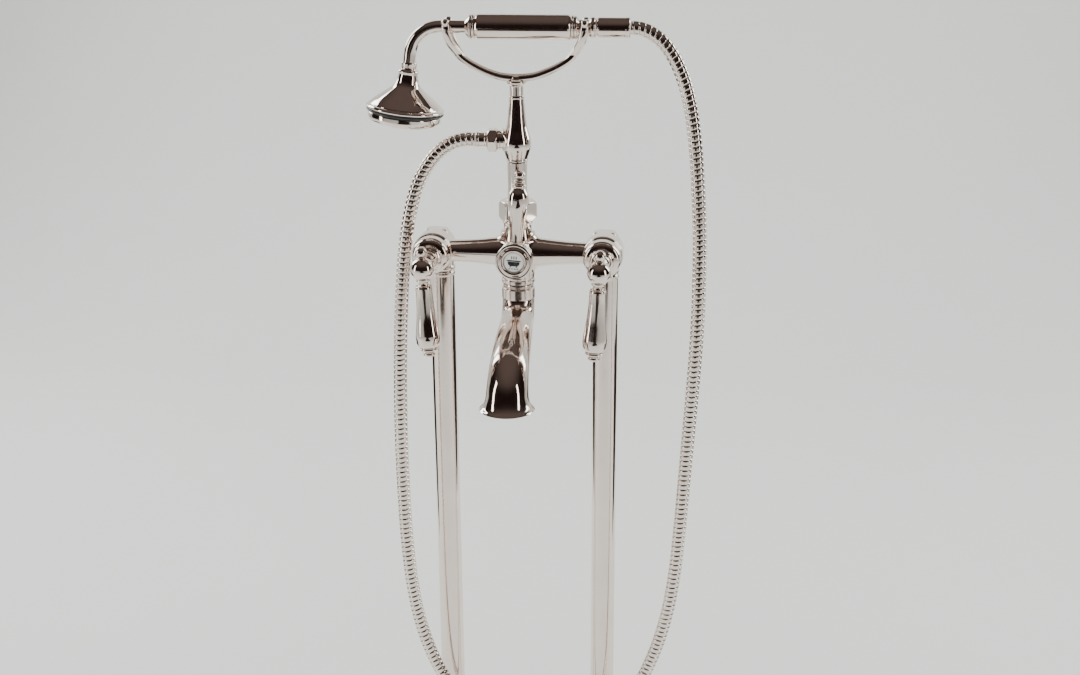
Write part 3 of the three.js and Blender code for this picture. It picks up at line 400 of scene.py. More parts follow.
def flare(
    drum: float, radius: float, fillet: Angles, lead: Angles, turn: np.ndarray, steps: int
) -> tuple[np.ndarray, np.ndarray]:
    """Spreads the root of a round branch over the drum that it grows from.

    At angle a the branch's line meets the drum at x = sqrt(R^2 - (r cos a)^2), and a parabola
    carries it from a lead before that place onto the drum at radius r + f.

    Args:
        drum: the drum's radius.
        radius: the branch's radius.
        fillet: how far the root spreads at each angle.
        lead: how far before the drum the spread starts.
        turn: the angles round the branch.
        steps: how many rows the spread has.

    Returns:
        Rows of distances from the drum's axis and rows of radii.
    """
    corner = np.sqrt(drum**2 - (radius * np.cos(turn)) ** 2)
    end = np.sqrt(drum**2 - ((radius + fillet) * np.cos(turn)) ** 2)
    t = np.linspace(0, 1, steps)[:, None]
    x = (1 - t) ** 2 * (corner + lead) + 2 * t * (1 - t) * corner + t**2 * end
    return x, radius + fillet * t**2 + 0 * turn


def mesh_arrays(skin: Skin) -> dict[str, np.ndarray]:
    """Turns a grid into vertices, four-cornered and three-cornered faces, and UVs.

    U is the share of a turn and V is the distance along the rows in metres. An end that has shrunk
    to a point, or an open end, closes on one middle vertex with a fan of triangles.

    Args:
        skin: the surface.

    Returns:
        Arrays named points, recess, quads, quad_uv, tris and tri_uv.
    """
    grid = skin.points
    recess = np.zeros(len(grid)) if skin.recess is None else skin.recess
    tips = None
    if not skin.ring:
        tips = np.stack([grid[0].mean(0), grid[-1].mean(0)])
        width = np.linalg.norm(grid - grid.mean(1, keepdims=True), axis=2).max(1)
        solid = width > 1e-3
        grid, recess = grid[solid], recess[solid]
    rows, columns = grid.shape[:2]
    travel = travelled(grid[:, 0]) * MM
    bands = rows if skin.ring else rows - 1
    r, c = np.meshgrid(np.arange(bands), np.arange(columns), indexing="ij")
    below, above = r, (r + 1) % rows
    left, right = c, (c + 1) % columns
    corners = [(below, left), (below, right), (above, right), (above, left)]
    quads = np.stack([row * columns + column for row, column in corners], -1).reshape(-1, 4)
    turn = np.stack([c, c + 1, c + 1, c], -1).reshape(-1, 4) / columns
    climb = travel[np.stack([below, below, above, above], -1)].reshape(-1, 4)
    points, tris, tri_uv = grid.reshape(-1, 3), np.zeros((0, 3), int), np.zeros((0, 3, 2))
    depth = np.repeat(recess, columns)
    if tips is not None:
        around, onward = np.arange(columns), (np.arange(columns) + 1) % columns
        first, last = len(points), len(points) + 1
        base = (rows - 1) * columns
        start = np.stack([np.full(columns, first), onward, around], 1)
        end = np.stack([np.full(columns, last), base + around, base + onward], 1)
        tris = np.vstack([start, end])
        share = np.stack([(around + 0.5), around + 1, around], 1) / columns
        start_uv = np.stack([share, np.zeros_like(share)], -1)
        end_uv = np.stack([share[:, [0, 2, 1]], np.full_like(share, travel[-1])], -1)
        tri_uv = np.concatenate([start_uv, end_uv])
        points = np.vstack([points, tips])
        depth = np.concatenate([depth, [0, 0]])
    halves = points[np.vstack([quads[:, :3], quads[:, [0, 2, 3]], tris])]
    volume = (halves[:, 0] * np.cross(halves[:, 1], halves[:, 2])).sum()
    order = 1 if volume > 0 else -1
    return {
        "points": points,
        "recess": depth,
        "quads": quads[:, ::order],
        "quad_uv": np.stack([turn, climb], -1)[:, ::order],
        "tris": tris[:, ::order],
        "tri_uv": tri_uv[:, ::order],
    }


def make_mesh(name: str, skins: Sequence[Skin]) -> bpy.types.Mesh:
    """Puts skins into one mesh in metres, smooth except at sharp edges.

    Args:
        name: the mesh's name.
        skins: its closed surfaces.

    Returns:
        The mesh, with a UV map and a point attribute called recess.
    """
    parts = [mesh_arrays(skin) for skin in skins]
    starts = np.cumsum([0] + [len(part["points"]) for part in parts])
    points = np.vstack([part["points"] for part in parts]) * MM
    quads = np.vstack([part["quads"] + at for part, at in zip(parts, starts)])
    tris = np.vstack([part["tris"] + at for part, at in zip(parts, starts)])
    corners = np.concatenate([quads.ravel(), tris.ravel()])
    totals = np.concatenate([np.full(len(quads), 4), np.full(len(tris), 3)])
    uv = np.concatenate([part[key].reshape(-1, 2) for key in ("quad_uv", "tri_uv") for part in parts])
    starts_of_faces = np.cumsum(totals) - totals
    depth = np.concatenate([part["recess"] for part in parts])
    mesh = bpy.data.meshes.new(name)
    mesh.vertices.add(len(points))
    mesh.vertices.foreach_set("co", points.astype(np.float32).ravel())
    mesh.loops.add(len(corners))
    mesh.loops.foreach_set("vertex_index", corners.astype(np.int32))
    mesh.polygons.add(len(totals))
    mesh.polygons.foreach_set("loop_start", starts_of_faces.astype(np.int32))
    mesh.polygons.foreach_set("loop_total", totals.astype(np.int32))
    mesh.polygons.foreach_set("use_smooth", np.ones(len(totals), bool))
    mesh.update(calc_edges=True)
    mesh.uv_layers.new(name="UVMap").data.foreach_set("uv", uv.astype(np.float32).ravel())
    recess = mesh.attributes.new("recess", "FLOAT", "POINT")
    recess.data.foreach_set("value", depth.astype(np.float32))
    mesh.set_sharp_from_angle(angle=math.radians(38))
    return mesh


# Finishes -----------------------------------------------------------------------------------


class Recipe:
    """Wires the nodes of one procedural material."""

    def __init__(self, name: str) -> None:
        """Starts a material with one Principled shader."""
        self.material = bpy.data.materials.new(name)
        self.material.use_nodes = True
        self.tree = self.material.node_tree
        self.tree.nodes.clear()
        output = self.tree.nodes.new("ShaderNodeOutputMaterial")
        self.shader = self.tree.nodes.new("ShaderNodeBsdfPrincipled")
        self.tree.links.new(self.shader.outputs["BSDF"], output.inputs["Surface"])
        self.object_point = self.add("ShaderNodeTexCoord").outputs["Object"]

    def add(self, kind: str, **sockets: object) -> Node:
        """Adds a node and fills its sockets.

        Args:
            kind: the node's type.
            sockets: values or output sockets by input name, with _ for a space; a name that isn't
                an input is a property of the node.

        Returns:
            The node.
        """
        node = self.tree.nodes.new(kind)
        for key, value in sockets.items():
            if hasattr(node, key) and key.islower():
                setattr(node, key, value)
                continue
            self.fill(node, key.replace("_", " "), value)
        return node

    def fill(self, node: Node, name: str | int, value: object) -> None:
        """Sets an input to a value, or links an output socket to it."""
        if isinstance(value, Socket):
            self.tree.links.new(value, node.inputs[name])
        else:
            node.inputs[name].default_value = value

    def noise(self, scale: float, detail: float = 3.0, point: Socket | None = None) -> Socket:
        """A noise value from 0 to 1.

        Args:
            scale: how many features lie in a metre.
            detail: how many finer layers it has.
            point: where it is read, or None for the object's own point.

        Returns:
            The value's socket.
        """
        source = self.object_point if point is None else point
        return self.add("ShaderNodeTexNoise", Vector=source, Scale=scale, Detail=detail).outputs["Fac"]

    def spread(self, value: Socket, low: float, high: float) -> Socket:
        """Stretches the middle of a noise value over a range."""
        limits = {"From_Min": 0.3, "From_Max": 0.7, "To_Min": low, "To_Max": high}
        return self.add("ShaderNodeMapRange", Value=value, **limits).outputs["Result"]

    def surface(self, socket: str, first: object, second: object, patch: Socket) -> None:
        """Sets one of the shader's colours to a mix of two by a patch value."""
        self.fill(self.shader, socket, self.mix(patch, first, second))

    def mix(self, share: object, first: object, second: object) -> Socket:
        """Mixes two colours by a share."""
        node = self.add("ShaderNodeMix", data_type="RGBA")
        for index, value in ((0, share), (6, first), (7, second)):
            self.fill(node, index, value)
        return node.outputs[2]

    def sum(self, first: object, second: object, operation: str = "ADD") -> Socket:
        """Adds two numbers, or combines them by another operation."""
        node = self.add("ShaderNodeMath", operation=operation)
        for index, value in enumerate((first, second)):
            self.fill(node, index, value)
        return node.outputs[0]

    def bump(self, height: Socket, strength: float, distance: float) -> None:
        """Roughens the shader's normal by a height."""
        node = self.add("ShaderNodeBump", Height=height, Strength=strength, Distance=distance)
        self.fill(self.shader, "Normal", node.outputs["Normal"])


def solid(colour: Colour) -> tuple[float, float, float, float]:
    """A colour with full alpha."""
    return (*colour, 1.0)


@dataclass(frozen=True)
class Plated:
    """Polished plate: a mirror with faint clouding, wipe marks and painted shade down in its grooves.

    Attributes:
        name: the material's name.
        bright: the plate's colour.
        deep: its colour where the plate is thinner or faintly clouded.
        painted_groove_shade: the colour painted at the bottom of a groove as shade.
        gloss: the roughness where it is cleanest.
        cloud: how much rougher the clouded patches are.
    """

    name: str
    bright: Colour
    deep: Colour
    painted_groove_shade: Colour
    gloss: float = 0.045
    cloud: float = 0.055

    def material(self) -> bpy.types.Material:
        """Builds the material."""
        recipe = Recipe(self.name)
        groove = recipe.add("ShaderNodeAttribute", attribute_name="recess").outputs["Fac"]
        patch = recipe.spread(recipe.noise(26.0, 4.0), 0.0, 1.0)
        colour = recipe.mix(patch, solid(self.bright), solid(self.deep))
        # Painted shade: the base colour darkens towards the groove colour where the recess is deep.
        shade = recipe.sum(groove, 0.85, "MULTIPLY")
        recipe.surface("Base Color", colour, solid(self.painted_groove_shade), shade)
        wiped = recipe.add("ShaderNodeMapping", Vector=recipe.object_point, Scale=(90.0, 900.0, 420.0))
        marks = recipe.noise(1.0, 2.0, wiped.outputs["Vector"])
        clouded = recipe.spread(patch, self.gloss, self.gloss + self.cloud)
        rough = recipe.sum(clouded, recipe.spread(marks, 0.0, 0.03))
        rough = recipe.sum(rough, recipe.sum(groove, 0.3, "MULTIPLY"))
        recipe.fill(recipe.shader, "Roughness", rough)
        recipe.fill(recipe.shader, "Metallic", 1.0)
        ripple = recipe.sum(recipe.noise(140.0, 2.0), recipe.sum(marks, 0.15, "MULTIPLY"))
        recipe.bump(ripple, 0.05, 0.0003)
        return recipe.material


@dataclass(frozen=True)
class Moulded:
    """A plain non-metal: its colour, a little mottling, and a fine grain.

    Attributes:
        name: the material's name.
        pale: its lighter colour.
        dark: its darker colour.
        roughness: its mean roughness.
        grain: how many grains lie in a metre.
        relief: how strong the grain is.
        coat: the strength of a clear glaze over it.
    """

    name: str
    pale: Colour
    dark: Colour
    roughness: float
    grain: float = 1800.0
    relief: float = 0.15
    coat: float = 0.0

    def material(self) -> bpy.types.Material:
        """Builds the material."""
        recipe = Recipe(self.name)
        patch = recipe.spread(recipe.noise(90.0, 4.0), 0.0, 1.0)
        recipe.surface("Base Color", solid(self.pale), solid(self.dark), patch)
        rough = recipe.spread(patch, self.roughness * 0.85, self.roughness * 1.15)
        recipe.fill(recipe.shader, "Roughness", rough)
        recipe.fill(recipe.shader, "Coat Weight", self.coat)
        recipe.fill(recipe.shader, "Coat Roughness", 0.04)
        recipe.bump(recipe.noise(self.grain, 2.0), self.relief, 0.00015)
        return recipe.material


@dataclass(frozen=True)
class Machined:
    """Bare metal inside the mixer: bright turned rings and duller, browner patches.

    Attributes:
        name: the material's name.
        bright: the freshly turned colour.
        dull: the colour where air and water have reached it.
        roughness: its mean roughness.
    """

    name: str
    bright: Colour
    dull: Colour
    roughness: float

    def material(self) -> bpy.types.Material:
        """Builds the material."""
        recipe = Recipe(self.name)
        patch = recipe.spread(recipe.noise(120.0, 5.0), 0.0, 1.0)
        recipe.surface("Base Color", solid(self.bright), solid(self.dull), patch)
        rough = recipe.spread(patch, self.roughness * 0.7, self.roughness * 1.4)
        recipe.fill(recipe.shader, "Roughness", rough)
        recipe.fill(recipe.shader, "Metallic", 1.0)
        lines = recipe.add("ShaderNodeMapping", Vector=recipe.object_point, Scale=(300.0, 2600.0, 2600.0))
        recipe.bump(recipe.noise(1.0, 2.0, lines.outputs["Vector"]), 0.2, 0.0001)
        return recipe.material


NICKEL = Plated("polished_nickel", (0.86, 0.75, 0.69), (0.80, 0.69, 0.63), (0.12, 0.07, 0.055))
HOSE_PLATE = Plated("hose_plate", (0.85, 0.755, 0.70), (0.78, 0.68, 0.62), (0.10, 0.06, 0.045), 0.08, 0.07)
PORCELAIN = Moulded("white_porcelain", (0.90, 0.89, 0.86), (0.86, 0.85, 0.81), 0.16, 500.0, 0.02, 0.6)
ENAMEL = Moulded("black_enamel", (0.02, 0.02, 0.022), (0.03, 0.03, 0.032), 0.25, 900.0, 0.05, 0.4)
RUBBER = Moulded("black_rubber", (0.030, 0.034, 0.034), (0.018, 0.020, 0.020), 0.38, 1500.0, 0.2)
PLASTIC = Moulded("white_plastic", (0.82, 0.81, 0.78), (0.76, 0.75, 0.72), 0.42)
CERAMIC = Moulded("valve_ceramic", (0.88, 0.86, 0.82), (0.83, 0.80, 0.76), 0.22, 2400.0, 0.05)
BRASS = Machined("turned_brass", (0.80, 0.62, 0.34), (0.55, 0.38, 0.18), 0.28)
COPPER = Machined("drawn_copper", (0.86, 0.50, 0.36), (0.52, 0.24, 0.15), 0.32)


class Workshop:
    """Makes pieces, dresses them and sets them on their bodies."""

    def __init__(self) -> None:
        """Starts with no materials made."""
        self.made: dict[str, bpy.types.Material] = {}

    def coat(self, finish: Plated | Moulded | Machined) -> bpy.types.Material:
        """The material of a finish, made once."""
        if finish.name not in self.made:
            self.made[finish.name] = finish.material()
        return self.made[finish.name]

    def piece(
        self,
        name: str,
        skins: Sequence[Skin],
        body: str | None,
        stands_for: Sequence[str] = (),
        finish: Plated | Moulded | Machined = NICKEL,
        slot: Slot = Slot.NICKEL,
    ) -> bpy.types.Object:
        """Makes one piece from its skins.

        Args:
            name: the piece's name.
            skins: its closed surfaces.
            body: the body that it moves with, or None to leave it unattached.
            stands_for: the frame nodes that it takes the place of.
            finish: its finish.
            slot: not used.

        Returns:
            The object.
        """
        mesh = make_mesh(name, skins)
        mesh.materials.append(self.coat(finish))
        thing = bpy.data.objects.new(name, mesh)
        bpy.context.scene.collection.objects.link(thing)
        if stands_for:
            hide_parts(*stands_for)
        if body is not None:
            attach(thing, body)
        LOG.info("%s: %d faces", name, len(mesh.polygons))
        return thing

    def spin(
        self,
        name: str,
        node: str,
        body: str,
        corners: Sequence[Corner],
        axis: Axis,
        ring: bool = False,
        columns: int = 96,
        finish: Plated | Moulded | Machined = NICKEL,
        slot: Slot = Slot.NICKEL,
    ) -> None:
        """Makes a piece that is one rounded outline spun round an axis.

        Args:
            name: the piece's name.
            node: the frame node that it takes the place of.
            body: the body that it moves with.
            corners: the outline as (radius, height, fillet).
            axis: the axis to spin round.
            ring: whether the outline closes on itself.
            columns: how many steps make a full turn.
            finish: its finish.
            slot: the material slot, passed on to the piece.
        """
        self.piece(name, [turned(corners, axis, ring, columns)], body, [node], finish, slot)

    def dress(self, nodes: Sequence[str], finish: Plated | Moulded | Machined) -> None:
        """Gives frame nodes that stay as they are a finish.

        Args:
            nodes: their names.
            finish: the finish.
        """
        for node in nodes:
            mesh = bpy.data.objects[node].data
            mesh.materials.clear()
            mesh.materials.append(self.coat(finish))
            LOG.info("%s: kept, %s", node, finish.name)


# Hose ---------------------------------------------------------------------------------------


@dataclass
class Hose:
    """The strip-wound metal hose: one length, kept as a riser run and a handset run.

    Its band rises and falls once in each pitch: with f the place in the band, the radius is the
    band's own less the groove times |2f - 1|^7, and f also turns once round the hose, so that
    the groove is a helix.
    """

    radius: float = 7.34
    groove: float = 1.2
    pitch: float = 5.8
    rows_per_band: int = 12
    columns: int = 28
    level: float = 790.0
    plane: float = -48.0
    riser_route: tuple[Pair, ...] = (
        (-43.1, 119.4), (-54, 119.4), (-69, 115), (-84, 104), (-97, 87), (-107, 66), (-114, 42),
        (-119, 16), (-123, -14), (-127, -60), (-130, -110), (-132, -165), (-133, -225), (-132.5, -290),
        (-130.5, -350), (-126, -405), (-117, -455), (-102, -501), (-82, -537), (-57, -563.5),
        (-28, -580), (-4, -584), (6, -584),
    )
    handset_route: tuple[Pair, ...] = (
        (115.8, 234.5), (124, 234), (134, 230.5), (147, 221.5), (159, 206), (168.5, 186), (175.5, 163),
        (180.5, 137), (184.5, 105), (187.5, 68), (190, 25), (191, -25), (190.5, -80), (188, -140),
        (184.5, -200), (181, -260), (177.5, -320), (173, -375), (165, -428), (152, -477), (134, -520),
        (110, -551), (80, -572), (46, -582), (18, -584), (6.6, -584),
    )

    def line(self, route: Sequence[Pair]) -> np.ndarray:
        """The centre line of a run, in millimetres, at even distances."""
        points = [(x, self.plane, self.level + z) for x, z in route]
        smooth = through(points)
        bands = length_of(smooth) / self.pitch
        return evenly(smooth, int(bands * self.rows_per_band))

    def skin(self, line: np.ndarray) -> Skin:
        """The banded surface round a centre line."""
        travel = np.linspace(0, length_of(line), len(line))
        turn = np.linspace(0, 1, self.columns, endpoint=False)
        band = (travel[:, None] / self.pitch - turn[None]) % 1.0
        depth = np.abs(2 * band - 1) ** 7
        radius = self.radius - self.groove * depth
        section = np.stack([np.cos(2 * np.pi * turn), np.sin(2 * np.pi * turn)], 1)
        shape = radius[:, :, None] * section[None]
        return carried(line, shape, (0, 1, 0))

    def build(self, shop: Workshop) -> None:
        self.run(shop, "riser_run", self.riser_route, ("standing_frame", "cradle"))
        self.run(shop, "handset_run", self.handset_route, ("handset", "cradle"))

    def run(self, shop: Workshop, name: str, route: Sequence[Pair], bodies: tuple[str, str]) -> None:
        """Makes one run from a fitting to the bottom of the loop.

        Args:
            shop: the workshop.
            name: the last words of the piece's name and of the node that it takes the place of.
            route: (x, height above the valve axis) points from the fitting to the loop's bottom.
            bodies: not used.
        """
        line = self.line(route)
        skin = self.skin(line)
        hose = shop.piece(f"metal_hose_{name}", [skin], None, [f"hose_{name}"], HOSE_PLATE, Slot.HOSE)
        ends = line[[0, -1]] * MM
        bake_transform(hose)
        path = line[:: self.rows_per_band // 2] * MM
        path = np.vstack([path, ends[1]])
        length_of(line) * MM


# Standpipes and valves ----------------------------------------------------------------------


@dataclass
class Standpipe:
    """One standpipe: floor flange, shroud, elbow and union nut."""

    side: str
    shroud_radius: float = 13.8
    elbow_radius: float = 13.2
    bend: float = 17.0
    union_flats: float = 37.0

    def build(self, shop: Workshop) -> None:
        """Makes the four outside pieces and dresses the pipe and washer inside."""
        pipe = Place.of(f"{self.side}_standpipe")
        floor = Axis.at([pipe.middle[0], pipe.middle[1], 0.0], Way.UP)
        self.flange(shop, floor)
        self.shroud(shop, floor, pipe)
        self.elbow(shop)
        self.union(shop)
        shop.dress([f"{self.side}_supply_pipe"], COPPER)
        shop.dress([f"{self.side}_union_washer"], RUBBER)

    def flange(self, shop: Workshop, floor: Axis) -> None:
        """The spun cover flange on the floor."""
        outline = [
            (14.3, 0.0, 0.2), (32.5, 0.0, 0.3), (32.5, 2.4, 1.0), (30.4, 3.2, 0.6), (29.2, 3.2, 0.5),
            (25.5, 5.2, 3.0), (20.2, 6.6, 2.0), (18.8, 8.2, 0.8), (18.6, 9.6, 0.7), (16.0, 10.0, 0.6),
            (14.3, 9.6, 0.3),
        ]
        name, node = f"{self.side}_spun_flange", f"{self.side}_floor_flange"
        shop.spin(name, node, "standing_frame", outline, floor, ring=True)

    def shroud(self, shop: Workshop, floor: Axis, pipe: Place) -> None:
        """The long tube, with a rolled bead at its top."""
        r, top = self.shroud_radius, pipe.high[2]
        outline = [
            (r - 1.4, pipe.low[2], 0.2), (r, pipe.low[2], 0.3), (r, top - 6.0, 0.6),
            (r + 0.7, top - 5.0, 0.5), (r + 0.7, top - 2.4, 0.5), (r, top - 1.6, 0.4),
            (r - 0.2, top, 0.5), (r - 1.4, top, 0.2),
        ]
        name, node = f"{self.side}_shroud_tube", f"{self.side}_standpipe"
        shop.spin(name, node, "standing_frame", outline, floor, ring=True, columns=128)

    def elbow(self, shop: Workshop) -> None:
        """The elbow from the shroud into the union: a straight leg, a quarter bend and another leg."""
        place, union = Place.of(f"{self.side}_elbow"), Place.of(f"{self.side}_union_nut")
        x, foot, level, bend = place.middle[0], place.low[2], union.middle[2], self.bend
        angle = np.linspace(0, np.pi / 2, 28)
        quarter = [np.full(28, x), -bend + bend * np.cos(angle), level - bend + bend * np.sin(angle)]
        upright = [(x, 0.0, foot), (x, 0.0, foot + 1.0), (x, 0.0, level - bend - 1.0)]
        forward = [(x, -bend - 3.0, level), (x, place.low[1], level)]
        path = np.vstack([upright, np.stack(quarter, 1), forward])
        tube = carried(path, oval(self.elbow_radius, self.elbow_radius, count=64), (1, 0, 0))
        corners = [(12.6, 0.0, 0.2), (14.6, 0.0, 0.6), (15.1, 1.8, 0.8), (14.6, 3.8, 0.6), (12.6, 3.8, 0.2)]
        bead = turned(corners, Axis.at(upright[0], Way.UP), ring=True)
        shop.piece(f"{self.side}_bent_elbow", [tube, bead], "standing_frame", [f"{self.side}_elbow"])

    def union(self, shop: Workshop) -> None:
        """The faceted nut that draws the elbow onto the mixer body."""
        place = Place.of(f"{self.side}_union_nut")
        rows = nut_rows(self.union_flats, 13.7, place.high[1] - place.low[1], 4.2)
        axis = Axis.at([place.middle[0], place.high[1], place.middle[2]], Way.FORWARD)
        name, node = f"{self.side}_union_hexagon", f"{self.side}_union_nut"
        shop.piece(name, [nut(self.union_flats, rows, axis)], "standing_frame", [node])


@dataclass
class Valve:
    """One quarter-turn valve: bonnet, lever hub and hanging lever."""

    side: str
    lean: float = 3.0
    hub_radius: float = 12.3
    finial_rise: float = 17.5
    finial_radius: float = 6.2

    def build(self, shop: Workshop) -> None:
        """Makes the outside pieces and dresses what is inside."""
        self.bonnet(shop)
        hub = Place.of(f"{self.side}_lever_hub")
        bonnet = Place.of(f"{self.side}_valve_bonnet")
        centre = np.array([bonnet.middle[0], hub.low[1] + self.hub_radius, bonnet.middle[2]])
        outwards = 1.0 if self.side == "right" else -1.0
        tilt = math.radians(self.lean) * outwards
        up = np.array([math.sin(tilt), 0.0, math.cos(tilt)])
        self.hub(shop, centre, up, hub)
        self.lever(shop, centre, -up)
        shop.dress([f"{self.side}_cartridge", f"{self.side}_spindle"], BRASS)
        shop.dress([f"{self.side}_ceramic_disc_fixed", f"{self.side}_ceramic_disc_moving"], CERAMIC)

    def bonnet(self, shop: Workshop) -> None:
        """The domed cap screwed on the valve chest, with a stepped collar in front."""
        place = Place.of(f"{self.side}_valve_bonnet")
        length = place.high[1] - place.low[1]
        outline = [
            (10.4, 0.0, 0.2), (18.6, 0.0, 0.3), (18.6, 1.6, 0.4), (19.9, 2.6, 0.6), (19.9, 11.5, 5.0),
            (17.6, 15.8, 4.0), (13.4, 17.4, 1.6), (12.7, 18.2, 0.5), (12.7, length - 2.2, 0.8),
            (11.6, length - 1.0, 0.5), (10.4, length, 0.5), (4.6, length, 0.2), (4.6, 12.0, 0.2),
            (10.4, 12.0, 0.2),
        ]
        axis = Axis.at([place.middle[0], place.high[1], place.middle[2]], Way.FORWARD)
        name, node = f"{self.side}_bonnet_cap", f"{self.side}_valve_bonnet"
        shop.spin(name, node, "standing_frame", outline, axis, ring=True)

    def hub(self, shop: Workshop, centre: np.ndarray, up: np.ndarray, place: Place) -> None:
        """The ball that the lever hangs from, its waisted stem and the finial above it."""
        back = place.high[1] - centre[1]
        r = self.hub_radius
        stem = [
            (0.0, -back, 0.0), (8.4, -back, 0.4), (9.2, -back + 1.6, 1.0), (8.8, -back + 3.6, 1.4),
            (6.5, -back + 6.4, 2.4), (6.1, -r - 5.0, 2.5), (7.6, -r + 0.6, 2.0), (0.0, -r + 4.0, 0.0),
        ]
        axis = Axis.at(centre, Way.FORWARD)
        turn = np.linspace(-np.pi / 2, np.pi / 2, 56)
        globe = spun(np.stack([r * np.cos(turn), r * np.sin(turn)], 1), axis)
        top, rise = self.finial_radius, self.finial_rise
        sweep = np.linspace(-1.0, np.pi / 2, 30)
        ball = np.stack([top * np.cos(sweep), rise + top * np.sin(sweep)], 1)
        foot = [
            (0.0, r - 3.0, 0), (5.4, r - 1.6, 0.4), (5.0, r - 0.2, 0.7), (3.2, r + 0.5, 0.5),
            (3.3, rise - 5.0, 0.4), (*ball[0], 0),
        ]
        finial = spun(np.vstack([rounded(foot)[:-1], ball]), Axis.at(centre, up), columns=72)
        flange = [
            (0.0, r - 3.0, 0), (7.4, r - 2.2, 0.6), (7.2, r + 0.2, 0.8), (5.2, r + 1.2, 0.6),
            (0.0, r + 1.2, 0),
        ]
        seat = turned(flange, Axis.at(centre, -up), columns=72)
        skins = [turned(stem, axis), globe, finial, seat]
        shop.piece(f"{self.side}_hub_ball", skins, f"{self.side}_lever", [f"{self.side}_lever_hub"])

    def lever(self, shop: Workshop, centre: np.ndarray, down: np.ndarray) -> None:
        """The hanging pear-shaped lever with a beaded end."""
        r = self.hub_radius
        outline = [
            (0.0, r - 0.6, 0), (5.4, r - 0.6, 0.3), (5.0, r + 2.0, 1.2), (5.4, r + 4.6, 1.0),
            (8.3, r + 5.2, 0.8), (8.7, r + 7.2, 1.0), (8.6, r + 16, 5.0), (9.6, r + 34, 14.0),
            (12.9, r + 60.5, 9.0), (12.2, r + 68.0, 4.0), (9.0, r + 71.4, 1.2), (8.9, r + 72.3, 0.4),
            (9.7, r + 73.0, 0.5), (9.2, r + 74.6, 0.8), (5.0, r + 75.6, 0.8), (4.2, r + 76.0, 0.5),
            (6.2, r + 77.6, 1.4), (6.3, r + 80.2, 2.2), (3.4, r + 82.0, 1.6), (0.0, r + 82.0, 0),
        ]
        name, node = f"{self.side}_pear_lever", f"{self.side}_lever_arm"
        shop.spin(name, node, f"{self.side}_lever", outline, Axis.at(centre, down))


# Mixer body, diverter and spout ---------------------------------------------------------------


